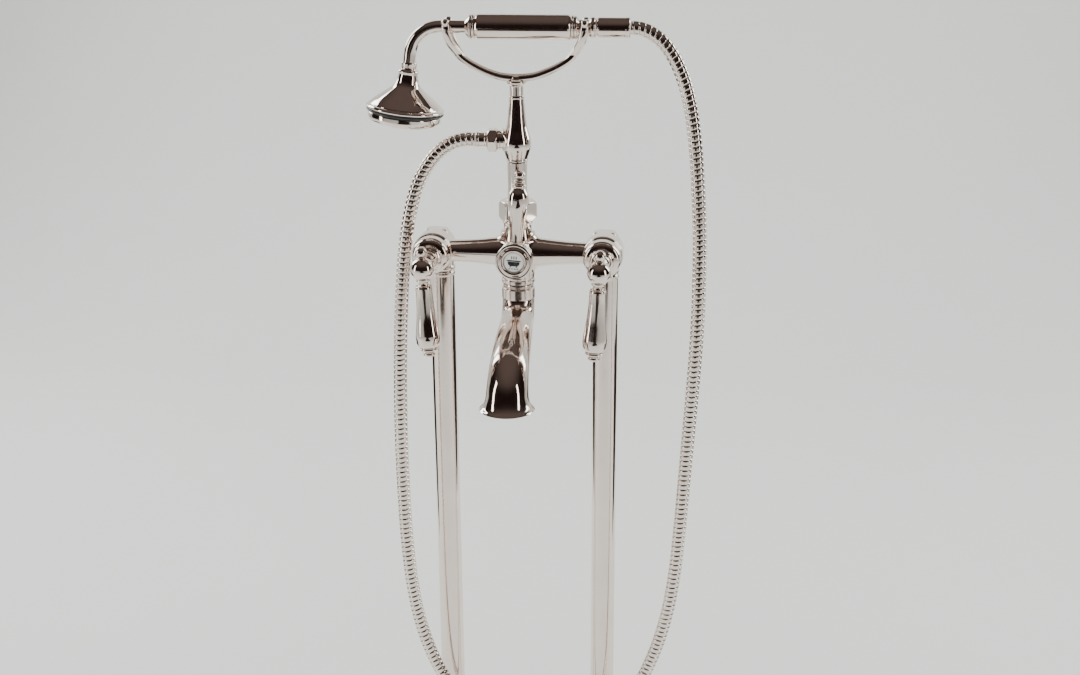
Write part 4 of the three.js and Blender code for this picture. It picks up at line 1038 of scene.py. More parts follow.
@dataclass
class MixerBody:
    """The cast body: a centre barrel, two tapering arms, two valve chests and the diverter boss."""

    barrel: float = 17.6
    arm_root: float = 15.2
    arm_tip: float = 11.1
    chest: float = 21.0
    tail: float = 16.2

    def build(self, shop: Workshop) -> None:
        """Makes the casting as one piece."""
        nut_place, body = Place.of("riser_nut"), Place.of("mixer_body")
        level = Place.of("left_union_nut").middle[2]
        reach = Place.of("right_union_nut").middle[0]
        centre = np.array([nut_place.middle[0], nut_place.middle[1], level])
        skins = [self.centre_barrel(centre, body), self.boss(centre, Place.of("diverter_barrel"))]
        for way in (-1.0, 1.0):
            skins.append(self.arm(centre, way, reach))
            skins.append(self.valve_chest(centre, way * reach, body))
        shop.piece("body_casting", skins, "standing_frame", ["mixer_body"])

    def centre_barrel(self, centre: np.ndarray, body: Place) -> Skin:
        """The upright barrel, waisted under the riser nut."""
        r, low, high = self.barrel, body.low[2] - centre[2], body.high[2] - centre[2]
        outline = [
            (0.0, low, 0), (r - 1.4, low, 0.4), (r, low + 1.2, 0.5), (r, low + 4.6, 0.4),
            (r - 0.7, low + 5.3, 0.4), (r - 0.5, low + 6.4, 0.4), (r - 0.4, 12.0, 6.0),
            (r - 2.6, 22.0, 6.0), (r - 3.4, 29.0, 3.0), (r - 1.6, 34.0, 1.5), (r - 1.8, 35.5, 0.4),
            (12.4, 35.5, 0.3), (12.4, high, 0.4), (0.0, high, 0),
        ]
        return turned(outline, Axis.at(centre, Way.UP), columns=128)

    def boss(self, centre: np.ndarray, diverter: Place) -> Skin:
        """The round boss in front, with one fine groove behind the diverter."""
        front = centre[1] - diverter.high[1] - 0.4
        outline = [
            (0.0, 0.0, 0), (15.6, 2.0, 1.0), (16.6, 10.0, 3.0), (18.0, 19.0, 3.0), (18.4, 21.6, 0.5),
            (17.6, 22.3, 0.3), (17.6, 22.9, 0.3), (18.6, 23.6, 0.5), (18.6, front - 0.8, 0.6),
            (17.8, front, 0.4), (0.0, front, 0),
        ]
        return turned(outline, Axis.at(centre, Way.FORWARD), columns=128)

    def arm(self, centre: np.ndarray, way: float, reach: float) -> Skin:
        """A round arm that flares into the barrel, more above and below than at the sides.

        Args:
            centre: the middle of the body.
            way: +1 for the right arm and -1 for the left.
            reach: how far the valve axis is from the middle.

        Returns:
            The skin.
        """
        turn = np.linspace(0, 2 * np.pi, 96, endpoint=False)
        fillet = 2.0 + 7.0 * np.sin(turn) ** 2
        flare_x, flare_r = flare(self.barrel, self.arm_root, fillet, fillet, turn, 14)
        share = np.linspace(0, 1, 26)[:, None]
        ease = 0.55 * share + 0.45 * share**3
        start = reach - 12.0
        stem_x = start + (flare_x[:1] - start) * share
        stem_r = self.arm_tip + (self.arm_root - self.arm_tip) * ease + 0 * stem_x
        x = np.vstack([stem_x, flare_x[1:], flare_x[-1:] - 2.5])
        r = np.vstack([stem_r, flare_r[1:], flare_r[-1:] - 1.5])
        shape = [way * x, r * np.cos(turn), r * np.sin(turn)]
        return Skin(centre + np.stack(shape, -1))

    def valve_chest(self, centre: np.ndarray, x: float, body: Place) -> Skin:
        """The drum that takes a cartridge, with its threaded tail behind."""
        back, r = body.high[1] - centre[1], self.chest
        outline = [
            (0.0, -back, 0), (self.tail, -back, 0.3), (self.tail, -12.0, 0.3), (19.4, -12.0, 1.0),
            (r, -10.0, 1.6), (r, 8.6, 1.4), (r - 0.9, 9.4, 0.4), (r - 0.9, 10.0, 0.4), (r, 10.6, 0.5),
            (r - 0.6, 12.0, 0.7), (0.0, 12.0, 0),
        ]
        return turned(outline, Axis.at([centre[0] + x, centre[1], centre[2]], Way.FORWARD), columns=128)


@dataclass
class Diverter:
    """The diverter on the front of the body: barrel, ringed bezel, porcelain disc and lever."""

    lean: float = 4.0
    plate_radius: float = 10.6
    tub: Pair = (6.2, 4.6)

    def build(self, shop: Workshop) -> None:
        """Makes the outside pieces and dresses the cartridge and spindle."""
        barrel, bezel, plate = (Place.of(f"diverter_{name}") for name in ("barrel", "bezel", "plate"))
        x, z = barrel.middle[0], Place.of("left_union_nut").middle[2]
        tilt = math.radians(self.lean)
        up = np.array([math.sin(tilt), 0.0, math.cos(tilt)])
        self.turned_parts(shop, x, z, barrel, bezel)
        self.disc(shop, x, z, plate, up)
        self.lever(shop, np.array([x, (barrel.low[1] + barrel.high[1]) / 2, z]), up)
        shop.dress(["diverter_cartridge", "diverter_spindle"], BRASS)

    def turned_parts(self, shop: Workshop, x: float, z: float, barrel: Place, bezel: Place) -> None:
        """The barrel and the stepped bezel in front of it."""
        length = barrel.high[1] - barrel.low[1]
        outline = [
            (0.0, 0.0, 0), (18.0, 0.0, 0.4), (18.8, 0.9, 0.5), (18.8, 3.0, 0.4), (18.2, 3.6, 0.4),
            (18.2, 6.8, 0.4), (18.8, 7.4, 0.4), (18.8, length - 0.6, 0.5), (17.6, length, 0.4),
            (0.0, length, 0),
        ]
        axis = Axis.at([x, barrel.high[1], z], Way.FORWARD)
        shop.spin("diverter_drum", "diverter_barrel", "diverter", outline, axis, columns=128)
        thick = bezel.high[1] - bezel.low[1]
        r = self.plate_radius
        ring = [
            (r + 0.3, 0.0, 0.2), (19.0, 0.0, 0.3), (19.5, 1.2, 0.7), (19.2, 2.6, 0.8), (17.6, 3.2, 0.6),
            (16.6, 2.7, 0.5), (15.6, 3.0, 0.5), (14.6, thick - 0.5, 0.8), (13.4, thick, 0.6),
            (12.0, thick - 0.1, 0.6), (r + 0.3, thick - 1.2, 0.4),
        ]
        axis = Axis.at([x, bezel.high[1], z], Way.FORWARD)
        shop.spin("diverter_bezel_ring", "diverter_bezel", "diverter", ring, axis, ring=True, columns=128)

    def disc(self, shop: Workshop, x: float, z: float, plate: Place, up: np.ndarray) -> None:
        """The porcelain disc and the little bath drawn on it in enamel."""
        thick = plate.high[1] - plate.low[1]
        axis, r = Axis.at([x, plate.high[1], z], Way.FORWARD), self.plate_radius
        outline = [
            (0.0, 0.0, 0), (r, 0.0, 0.2), (r, thick - 1.5, 1.0), (8.0, thick - 0.4, 3.0),
            (0.0, thick - 0.1, 0),
        ]
        name, node = "porcelain_disc", "diverter_plate"
        shop.spin(name, node, "diverter", outline, axis, finish=PORCELAIN, slot=Slot.PORCELAIN)
        self.pictogram(shop, np.array([x, plate.low[1] - 0.12, z]), up)

    def pictogram(self, shop: Workshop, middle: np.ndarray, up: np.ndarray) -> None:
        """A bath in outline: a bowl, a rim, two feet, dashes under it and drops above it.

        The bowl is the lower half of |x/a|^3 + |y/b|^3 = 1, and the rest are rounded bars.

        Args:
            middle: the middle of the disc's face.
            up: the direction that stands for up on the disc.
        """
        right = np.array([up[2], 0.0, -up[0]])
        wide, deep = self.tub

        def slab(outline: np.ndarray) -> Skin:
            """Gives a flat outline a little thickness."""
            flat = middle + outline[:, :1] * right + outline[:, 1:] * up
            back = flat + np.array([0.0, 0.5, 0.0])
            return Skin(np.stack([back, flat]))

        turn = np.linspace(np.pi, 2 * np.pi, 28)
        circle = np.stack([np.cos(turn), np.sin(turn)], 1)
        bowl = np.array([wide, deep]) * np.sign(circle) * np.abs(circle) ** 0.66
        shapes = [bowl + [0, 1.0], oval(7.6, 0.6, 4.0) + [0, 2.1]]
        shapes += [oval(0.7, 0.8, 3.0) + [offset, -4.1] for offset in (-3.2, 3.2)]
        shapes += [oval(0.95, 0.42, 3.0) + [offset, -6.6] for offset in (-4.2, -1.4, 1.4, 4.2)]
        shapes += [oval(0.45, 1.6, 3.0) + [offset, 5.4] for offset in (-2.4, 0.0, 2.4)]
        slabs = [slab(shape) for shape in shapes]
        shop.piece("enamel_bath_sign", slabs, "diverter", [], ENAMEL, Slot.PORCELAIN)

    def lever(self, shop: Workshop, centre: np.ndarray, up: np.ndarray) -> None:
        """The upright lever: a long pear, two rings and a ball."""
        foot = 19.1
        outline = [
            (0.0, foot - 5, 0), (6.2, foot - 5, 0.3), (6.2, foot + 0.4, 0.4), (7.2, foot + 1.2, 0.6),
            (7.0, foot + 3.0, 1.0), (7.3, foot + 12, 5.0), (9.2, foot + 27, 8.0), (11.0, foot + 41, 7.0),
            (10.4, foot + 52, 5.0), (6.4, foot + 58.4, 1.8), (6.3, foot + 59.4, 0.4),
            (7.3, foot + 60.2, 0.6), (7.0, foot + 61.8, 0.8), (4.6, foot + 62.7, 0.6),
            (4.5, foot + 63.3, 0.3), (6.0, foot + 64.1, 0.6), (5.6, foot + 65.6, 0.7),
            (3.2, foot + 66.8, 0.8), (3.2, foot + 67.6, 0.5), (5.4, foot + 69.4, 1.6),
            (5.9, foot + 71.8, 2.4), (4.6, foot + 75.2, 2.4), (0.0, foot + 76.0, 0),
        ]
        shop.spin("diverter_pear_lever", "diverter_lever", "diverter", outline, Axis.at(centre, up))


@dataclass
class Spout:
    """The swept spout under the body, and the collar that it turns in.

    Attributes:
        stations: forward from its root, up from its lip, radius and tilt in degrees of a section.
    """

    wall: float = 2.6
    columns: int = 96
    stations: tuple[tuple[float, float, float, float], ...] = (
        (0, 84, 17.0, 0), (1.5, 76.5, 17.2, 18), (6, 68.5, 17.4, 42), (15, 62, 17.8, 60),
        (37, 55, 18.9, 70), (64, 46, 19.9, 68), (89, 36, 20.7, 52), (104, 23, 21.4, 24),
        (110, 11, 22.4, 4), (111.8, 5.0, 24.6, 0), (112.5, 1.8, 27.6, 0),
    )

    def rings(self, inset: float) -> np.ndarray:
        """The spout's sections, inset by a wall: a circle of radius r tilted by its own angle.

        At angle a the point is forward + r cos a cos tilt, up + r cos a sin tilt, across r sin a.

        Args:
            inset: how much smaller the radius is.

        Returns:
            Rows by columns by three: forward, across and up.
        """
        dense = through(self.stations, 9)
        turn = np.linspace(0, 2 * np.pi, self.columns, endpoint=False)[None]
        ahead, up, radius, tilt = (dense[:, i : i + 1] for i in range(4))
        lean = np.radians(tilt)
        reach = (radius - inset) * np.cos(turn)
        across = (radius - inset) * np.sin(turn)
        return np.stack([ahead + reach * np.cos(lean), across, up + reach * np.sin(lean)], -1)

    def build(self, shop: Workshop) -> None:
        """Makes the spout and its collar, and dresses the seal and the flow straightener."""
        place, collar = Place.of("spout"), Place.of("spout_collar")
        root_y, lip_z, x = collar.middle[1], place.low[2], place.middle[0]
        outer, inner = self.rings(0.0), self.rings(self.wall)
        ahead, _, _, _ = self.stations[-1]
        turn = np.linspace(0, 2 * np.pi, self.columns, endpoint=False)[None]
        roll = np.linspace(0.15, 1.0, 9)[:, None] * np.pi
        rim = 26.9 + 1.6 * np.cos(roll)
        height = 1.6 - 1.6 * np.sin(roll) + 0 * turn
        lip = np.stack([ahead + rim * np.cos(turn), rim * np.sin(turn), height], -1)
        rows = np.concatenate([outer, lip, inner[::-1]])
        points = np.stack([x + rows[..., 1], root_y - rows[..., 0], lip_z + rows[..., 2]], -1)
        top = collar.low[2] - lip_z
        seat_outline = [(0, top - 6, 0), (15.8, top - 6, 0.3), (15.8, top - 0.3, 0.3), (0, top - 0.3, 0)]
        seat = turned(seat_outline, Axis.at([x, root_y, lip_z], Way.UP))
        shop.piece("swept_spout", [Skin(points, ring=True), seat], "standing_frame", ["spout"])
        length = collar.high[2] - collar.low[2]
        outline = [
            (11.9, 0.0, 0.2), (17.1, 0.0, 0.3), (17.6, 0.7, 0.5), (17.6, length - 5.4, 0.5),
            (17.2, length - 4.8, 0.3), (16.0, length - 4.2, 0.4), (16.0, length - 2.4, 0.4),
            (16.6, length - 1.8, 0.4), (16.4, length, 0.3), (11.9, length, 0.2),
        ]
        axis = Axis.at([x, root_y, collar.low[2]], Way.UP)
        shop.spin("spout_swivel_collar", "spout_collar", "standing_frame", outline, axis, True, 128)
        shop.dress(["spout_seal"], RUBBER)
        shop.dress(["flow_straightener"], PLASTIC)


# Riser, hose outlet and cradle ----------------------------------------------------------------


@dataclass
class Riser:
    """The riser: faceted nut, column, swelling tee and the hose outlet at its side."""

    nut_flats: float = 35.2
    hose_nut_flats: float = 22.6

    def build(self, shop: Workshop) -> None:
        """Makes the outside pieces and dresses what is inside."""
        self.column(shop)
        self.tee(shop)
        self.outlet(shop)
        shop.dress(["riser_washer", "hose_washer"], RUBBER)
        shop.dress(["outlet_nipple"], BRASS)
        shop.dress(["check_valve"], PLASTIC)

    def column(self, shop: Workshop) -> None:
        """The nut and the plain column above it."""
        place, tube = Place.of("riser_nut"), Place.of("riser_column")
        height = place.high[2] - place.low[2]
        axis = Axis.at([place.middle[0], place.middle[1], place.low[2]], Way.UP)
        rows = nut_rows(self.nut_flats, 10.7, height, 3.6)
        shop.piece("riser_hexagon", [nut(self.nut_flats, rows, axis)], "standing_frame", ["riser_nut"])
        base, top = tube.low[2] - place.low[2], Place.of("riser_tee").low[2] - place.low[2]
        outline = [
            (0, base, 0), (12.4, base, 0.3), (12.4, base + 3.0, 0.3), (10.2, base + 3.2, 0.4),
            (10.2, height + 0.2, 0.4), (11.6, height + 0.6, 0.4), (11.5, height + 2.2, 0.7),
            (10.2, height + 3.2, 0.8), (10.0, top - 19, 8.0), (10.6, top - 0.4, 0.5),
            (8.6, top - 0.2, 0.2), (0, top + 4.0, 0),
        ]
        shop.spin("riser_tube", "riser_column", "standing_frame", outline, axis)

    def tee(self, shop: Workshop) -> None:
        """The pear-shaped tee, and the boss that leaves it on the left."""
        place, outlet = Place.of("riser_tee"), Place.of("hose_nut")
        low, high = place.low[2], place.high[2]
        bead = high - low - 9.0
        outline = [
            (0, 0, 0), (9.8, 0, 0.2), (11.2, 0.8, 0.6), (11.3, 2.2, 0.7), (10.9, 3.0, 0.5),
            (12.6, 8.0, 4.0), (14.8, 16.0, 6.0), (14.6, 23.0, 6.0), (11.2, 34.0, 6.0), (10.0, 40.0, 4.0),
            (7.6, bead - 3.2, 2.0), (7.6, bead - 2.4, 0.3), (8.1, bead - 1.8, 0.5), (7.9, bead, 0.5),
            (4.6, bead, 0.3), (4.6, bead + 9.0, 0.4), (0, bead + 9.0, 0),
        ]
        x, y, _ = Place.of("riser_column").middle
        bulb = turned(outline, Axis.at([x, y, low], Way.UP))
        turn = np.linspace(0, 2 * np.pi, 72, endpoint=False)
        flare_x, flare_r = flare(14.6, 9.6, 2.6, 2.2, turn, 10)
        tip = x - outlet.high[0] - 0.3
        face = [(tip, 6.0), (tip, 9.9), (tip - 0.4, 10.3), (tip - 2.2, 10.3), (tip - 2.8, 9.6)]
        head = np.array(face)[:, :, None] + 0 * turn
        out = np.vstack([head[:, 0], flare_x, flare_x[-1:] - 2.0])
        r = np.vstack([head[:, 1], flare_r, flare_r[-1:] - 1.5])
        root = np.array([x, y, outlet.middle[2]])
        boss = Skin(root + np.stack([-out, r * np.cos(turn), r * np.sin(turn)], -1))
        shop.piece("riser_pear_tee", [bulb, boss], "standing_frame", ["riser_tee"])

    def outlet(self, shop: Workshop) -> None:
        """The hose nut and the ferrule crimped on the hose."""
        place, ferrule = Place.of("hose_nut"), Place.of("hose_ferrule")
        axis = Axis.at([place.high[0], place.middle[1], place.middle[2]], Way.LEFT)
        length = place.high[0] - place.low[0]
        rows = nut_rows(self.hose_nut_flats, 5.2, length, 2.6)
        hexagon = nut(self.hose_nut_flats, rows, axis, 30.0)
        shop.piece("hose_hexagon", [hexagon], "standing_frame", ["hose_nut"])
        start, end = length, place.high[0] - ferrule.low[0]
        outline = [
            (0, start - 1.0, 0), (6.6, start - 1.0, 0.2), (7.0, start + 0.4, 0.3),
            (8.0, start + 1.0, 0.5), (8.0, start + 2.6, 0.5), (7.5, start + 3.2, 0.4),
            (7.5, end - 3.4, 0.4), (8.1, end - 2.8, 0.5), (8.1, end - 0.8, 0.6), (7.2, end, 0.3),
            (0, end, 0),
        ]
        shop.spin("hose_crimp_ferrule", "hose_ferrule", "standing_frame", outline, axis)


@dataclass
class Cradle:
    """The cradle that swivels on the tee: saddle, two bowed arms and two forks with ball tips."""

    span: float = 140.0
    seat_rise: float = 57.8
    neck_notch: float = 6.9
    rest_notch: float = 8.5
    ball: float = 4.0

    def build(self, shop: Workshop) -> None:
        """Makes the cradle as one piece and dresses its grub screw."""
        place, tee = Place.of("cradle"), Place.of("riser_column")
        centre = np.array([tee.middle[0], tee.middle[1], place.low[2] + 11.0])
        skins = [self.saddle(centre)]
        for way, notch in ((-1.0, self.neck_notch), (1.0, self.rest_notch)):
            skins += [self.arm(centre, way), *self.fork(centre, way, notch)]
        shop.piece("bowed_cradle", skins, "cradle", ["cradle"])
        shop.dress(["cradle_grub_screw"], BRASS)

    def saddle(self, centre: np.ndarray) -> Skin:
        """The collar on the pin and the flange that the arms grow from."""
        bore, foot, depth = 4.95, -10.9, 9.4
        outline = [
            (bore, foot, 0.2), (7.2, foot, 0.4), (7.2, -1.2, 0.5), (7.8, -0.4, 0.6), (9.8, 1.8, 1.2),
            (10.2, 3.2, 0.8), (9.6, 4.4, 0.8), (7.2, 6.2, 1.5), (6.2, 9.4, 2.0), (0.0, 10.2, 0.0),
        ]
        socket = [(0.0, foot + depth), (bore, foot + depth)]
        return spun(np.vstack([socket, rounded(outline)]), Axis.at(centre, Way.UP))

    def arm(self, centre: np.ndarray, way: float) -> Skin:
        """One arm, a rounded bar that bows down to the saddle and up to its fork."""
        route = [(-4, 6.6), (0, 6.6), (16, 8.2), (30, 12.6), (44, 19.2), (54.5, 26.2), (60.5, 33.0)]
        path = through([(way * x, 0.0, z) for x, z in route], 8)
        scale = 1.0 - 0.2 * np.linspace(0, 1, len(path))
        return carried(path + centre, oval(5.9, 4.7, 2.3, 40), (0, 1, 0), scale)

    def fork(self, centre: np.ndarray, way: float, notch: float) -> list[Skin]:
        """One fork: two prongs that part at the arm's end and pass round the tube to ball tips."""
        x, rise, out = self.span / 2, self.seat_rise, notch + 2.4
        skins = []
        for side in (-1.0, 1.0):
            rough = [
                (x - 15.0, 0.4, 26.4), (x - 11.0, 2.0, 31.5), (x - 6.4, 5.4, 38.6),
                (x - 2.6, out - 1.6, 46.4), (x - 0.6, out, 54.2), (x, out + 0.3, rise + 1.6),
                (x, out + 0.6, rise + 4.0),
            ]
            route = np.array(rough) * [way, side, 1.0]
            path = through(route, 8) + centre
            share = np.linspace(0, 1, len(path))
            section = oval(4.1, 2.75, 2.3, 32)
            scale = 1.0 + 0.12 * np.sin(np.pi * share) - 0.1 * share
            skins.append(carried(path, section, (1, 0, 0), scale))
            turn = np.linspace(-np.pi / 2, np.pi / 2, 32)
            globe = np.stack([self.ball * np.cos(turn), self.ball * np.sin(turn)], 1)
            tip = centre + np.array([way * x, side * (notch + 3.7), rise + 5.0])
            skins.append(spun(globe, Axis.at(tip, Way.UP), columns=48))
        return skins


# Handset --------------------------------------------------------------------------------------


@dataclass
class Handset:
    """The handset: bell head, rose, bent neck, ringed ferrule, grip, end fitting and hose nut."""

    neck: float = 6.4
    bend: float = 32.0
    tilt: float = 7.0
    lead: float = 26.0
    reach: float = 11.8
    head: float = 40.4
    grip: float = 13.1
    rings_of_holes: int = 5

    def build(self, shop: Workshop) -> None:
        """Makes the handset from its rose to its hose nut."""
        head_axis = self.bent_neck(shop)
        self.bell(shop, head_axis)
        self.rose(shop, head_axis)
        self.handle(shop)
        shop.dress(["handset_washer"], RUBBER)

    def bent_neck(self, shop: Workshop) -> Axis:
        """The tube from the grip round its bend to the head.

        Args:
            shop: the workshop.

        Returns:
            The head's axis, which starts where the tube ends and points the way it pours.
        """
        grip = Place.of("handset_grip")
        _, y, z = grip.middle
        root, bend = Place.of("handset_ferrule").low[0] - self.lead, self.bend
        sweep = np.radians(np.linspace(0, 90 - self.tilt, 36))
        lean = math.radians(self.tilt)
        down = np.array([-math.sin(lean), 0.0, -math.cos(lean)])
        curve = [root - bend * np.sin(sweep), np.full(36, y), z - bend + bend * np.cos(sweep)]
        curve = np.stack(curve, 1)
        end = curve[-1] + self.reach * down
        straight = [(grip.low[0] + 12.0, y, z), (grip.low[0], y, z), (root + 1.0, y, z)]
        path = np.vstack([straight, curve, curve[-1] + down, end])
        tube = carried(path, oval(self.neck, self.neck, count=64), (0, 1, 0))
        shop.piece("bent_neck_tube", [tube], "handset", ["handset_neck"])
        return Axis.at(end, down)

    def bell(self, shop: Workshop, axis: Axis) -> None:
        """The bell, a thin shell from its two collars to its rolled rim, with the bead below."""
        r = self.head
        outline = [
            (6.8, -4.0, 0.2), (7.8, -4.0, 0.5), (8.2, -2.8, 0.6), (8.0, -1.2, 0.5), (7.6, 1.6, 0.5),
            (7.8, 3.2, 0.6), (10.0, 4.4, 0.8), (10.6, 5.6, 0.5), (10.3, 6.6, 0.4), (9.8, 8.0, 0.8),
            (11.2, 16.0, 5.0), (14.0, 21.5, 5.0), (25.5, 30.0, 8.0), (33.6, 36.4, 6.0), (36.6, 39.8, 1.4),
            (36.8, 40.6, 0.4), (38.8, 41.2, 0.7), (r, 42.8, 1.0), (39.8, 44.6, 0.8), (38.6, 45.0, 0.3),
            (36.2, 45.0, 0.3), (34.6, 40.4, 2.0), (24.4, 32.6, 6.0), (12.0, 24.0, 4.0), (8.4, 16.0, 3.0),
            (6.8, 2.0, 0.4),
        ]
        shop.spin("handset_bell", "handset_head", "handset", outline, axis, ring=True, columns=144)
        turn = np.linspace(0, 2 * np.pi, 28, endpoint=False)
        bead = np.stack([36.7 + 3.2 * np.cos(turn), 46.75 + 1.55 * np.sin(turn)], 1)
        skin = spun(bead, axis, ring=True, columns=144)
        shop.piece("rose_bead", [skin], "handset", ["rose_seal"], RUBBER, Slot.RUBBER)

    def rose(self, shop: Workshop, axis: Axis) -> None:
        """The rose: a shallow drum that closes on a gently domed face pierced with fine holes.

        Ring k has 7k holes at radius k times the ring spacing. Each hole is a small dark cup with
        a raised lip, and every cup is the same outline moved to its own place.

        Args:
            shop: the workshop.
            axis: the head's axis.
        """
        back = 48.4
        outline = [
            (0, back + 3.0, 0), (30.0, back + 3.0, 0.5), (31.0, back + 0.1, 0.5), (37.4, back + 0.1, 0.4),
            (38.0, back + 0.9, 0.6), (37.9, back + 5.8, 1.8), (36.4, back + 8.4, 1.4),
            (34.6, back + 9.0, 0.5), (33.4, back + 8.9, 0.3), (33.0, back + 9.6, 0.4),
            (30.6, back + 11.2, 1.4), (0, back + 11.9, 0),
        ]
        shop.spin("rose_drum", "rose_plate", "handset", outline, axis, columns=144)
        u, v = axis.across()
        cups, dome = [], back + 11.9
        jet = [
            (0, 0.1, 0), (0.55, 0.1, 0.05), (0.72, 0.38, 0.08), (0.98, 0.36, 0.1), (1.2, -0.3, 0),
            (0, -0.5, 0),
        ]
        cup = rounded(jet, steps=2)
        for ring in range(self.rings_of_holes + 1):
            radius, count = ring * 5.2, max(1, 7 * ring)
            height = dome - 0.9 * radius / 30.6
            for angle in 2 * np.pi * (np.arange(count) + 0.5 * (ring % 2)) / count:
                spoke = math.cos(angle) * u + math.sin(angle) * v
                centre = axis.start + height * axis.along + radius * spoke
                cups.append(spun(cup, Axis(centre, axis.along), columns=12))
        shop.piece("rose_jets", cups, "handset", [], RUBBER, Slot.RUBBER)

    def handle(self, shop: Workshop) -> None:
        """The ferrule, the grip, the ringed end fitting and the long hose nut, all on one axis."""
        left, grip, last = (Place.of(f"handset_{name}") for name in ("ferrule", "grip", "hose_nut"))
        axis = Axis.at([0.0, *grip.middle[1:]], Way.RIGHT)
        a, b, r = left.low[0], left.high[0], self.grip
        ferrule = [
            (0, a, 0), (7.6, a, 0.4), (8.6, a + 0.8, 0.6), (r - 1.2, a + 4.0, 1.2),
            (r - 0.5, a + 4.9, 0.7), (r - 0.8, a + 5.7, 0.4), (r - 2.0, a + 6.1, 0.3),
            (r - 2.0, a + 6.5, 0.3), (r - 0.4, a + 7.1, 0.5), (r - 0.3, a + 8.5, 0.6),
            (r - 1.4, a + 9.3, 0.4), (r - 1.8, b - 0.1, 0.2), (0, b, 0),
        ]
        shop.spin("ringed_ferrule", "handset_ferrule", "handset", ferrule, axis)
        a, b = grip.low[0], grip.high[0]
        sleeve = [
            (7.0, a, 0.2), (r - 1.9, a, 0.4), (r - 1.2, a + 0.6, 0.4), (r, a + 2.6, 1.8),
            (r, b - 2.6, 1.8), (r - 1.2, b - 0.6, 0.4), (r - 1.9, b, 0.4), (7.0, b, 0.2),
        ]
        shop.spin("grip_sleeve", "handset_grip", "handset", sleeve, axis, ring=True, columns=128)
        a, b = grip.high[0] + 0.3, last.low[0] - 0.3
        fitting = [
            (0, a, 0), (r - 1.9, a, 0.3), (r - 0.8, a + 0.5, 0.5), (r - 0.6, a + 1.9, 0.6),
            (r - 2.0, a + 2.7, 0.3), (r - 2.0, a + 3.1, 0.3), (r - 1.2, a + 3.8, 0.5),
            (r - 1.5, a + 5.4, 0.7), (9.0, a + 7.0, 0.8), (7.9, a + 7.8, 0.6), (7.9, b - 7.0, 0.6),
            (9.2, b - 6.2, 0.8), (10.8, b - 4.6, 1.0), (10.8, b - 1.6, 0.8), (9.4, b - 0.4, 0.4),
            (9.2, b, 0.2), (0, b, 0),
        ]
        shop.spin("ringed_end_fitting", "handset_end", "handset", fitting, axis)
        a, b = last.low[0], last.high[0]
        long_nut = [
            (0, a, 0), (9.0, a, 0.2), (9.3, a + 0.8, 0.3), (10.2, a + 1.6, 0.6), (10.5, a + 3.0, 0.5),
            (10.5, b - 5.0, 4.0), (10.8, b - 3.0, 1.0), (10.7, b - 1.0, 0.8), (9.6, b, 0.4),
            (7.6, b, 0.2), (0, b - 1.5, 0),
        ]
        shop.spin("long_hose_nut", "handset_hose_nut", "handset", long_nut, axis)


# Studio -----------------------------------------------------------------------------------------


@dataclass(frozen=True)
class Lamp:
    """A soft rectangular light.

    Attributes:
        name: its name.
        spot: where it hangs.
        target: what it points at.
        size: its width and height.
        power: its watts.
        tint: its colour.
        mirrored: whether polished metal shows it.
    """

    name: str
    spot: Triple
    target: Triple
    size: Pair
    power: float
    tint: Colour
    mirrored: bool = True

    def hang(self) -> None:
        """Makes the light and points it."""
        data = bpy.data.lights.new(self.name, "AREA")
        data.shape, data.size, data.size_y = "RECTANGLE", *self.size
        data.energy, data.color = self.power, self.tint
        lamp = bpy.data.objects.new(self.name, data)
        lamp.visible_glossy = self.mirrored
        away = np.array(self.spot) - np.array(self.target)
        away /= np.linalg.norm(away)
        side = np.cross([0.0, 0.0, 1.0], away)
        side /= np.linalg.norm(side)
        set_down(lamp, side, np.cross(away, side), away, self.spot)


def set_down(
    thing: bpy.types.Object, right: np.ndarray, up: np.ndarray, back: np.ndarray, spot: Sequence[float]
) -> None:
    """Puts a camera or a light in the scene.

    Args:
        thing: the object.
        right: its own X axis.
        up: its own Y axis.
        back: its own Z axis, which points away from what it faces.
        spot: its place in metres.
    """
    matrix = np.eye(4)
    matrix[:3] = np.stack([right, up, back, spot], 1)
    thing.matrix_world = Matrix(matrix.tolist())
    bpy.context.scene.collection.objects.link(thing)


def stage_sheet(
    name: str, points: np.ndarray, pale: Colour, dark: Colour, grain: float, finish: Pair
) -> bpy.types.Object:
    """Adds a sheet of the studio's own, which isn't part of the object.

    Args:
        name: the sheet's name.
        points: rows by columns by three, in metres.
        pale: its lighter colour.
        dark: its darker colour.
        grain: how many patches lie in a metre.
        finish: its roughness and its specular level.

    Returns:
        The object.
    """
    rows, columns = points.shape[:2]
    r, c = np.meshgrid(np.arange(rows - 1), np.arange(columns - 1), indexing="ij")
    start = r * columns + c
    quads = np.stack([start, start + 1, start + columns + 1, start + columns], -1).reshape(-1, 4)
    mesh = bpy.data.meshes.new(name)
    mesh.from_pydata(points.reshape(-1, 3).tolist(), [], quads.tolist())
    mesh.polygons.foreach_set("use_smooth", np.ones(len(mesh.polygons), bool))
    recipe = Recipe(name)
    patch = recipe.spread(recipe.noise(grain), 0.0, 1.0)
    recipe.surface("Base Color", solid(pale), solid(dark), patch)
    recipe.fill(recipe.shader, "Roughness", finish[0])
    recipe.fill(recipe.shader, "Specular IOR Level", finish[1])
    mesh.materials.append(recipe.material)
    sheet = bpy.data.objects.new(name, mesh)
    bpy.context.scene.collection.objects.link(sheet)
    return sheet


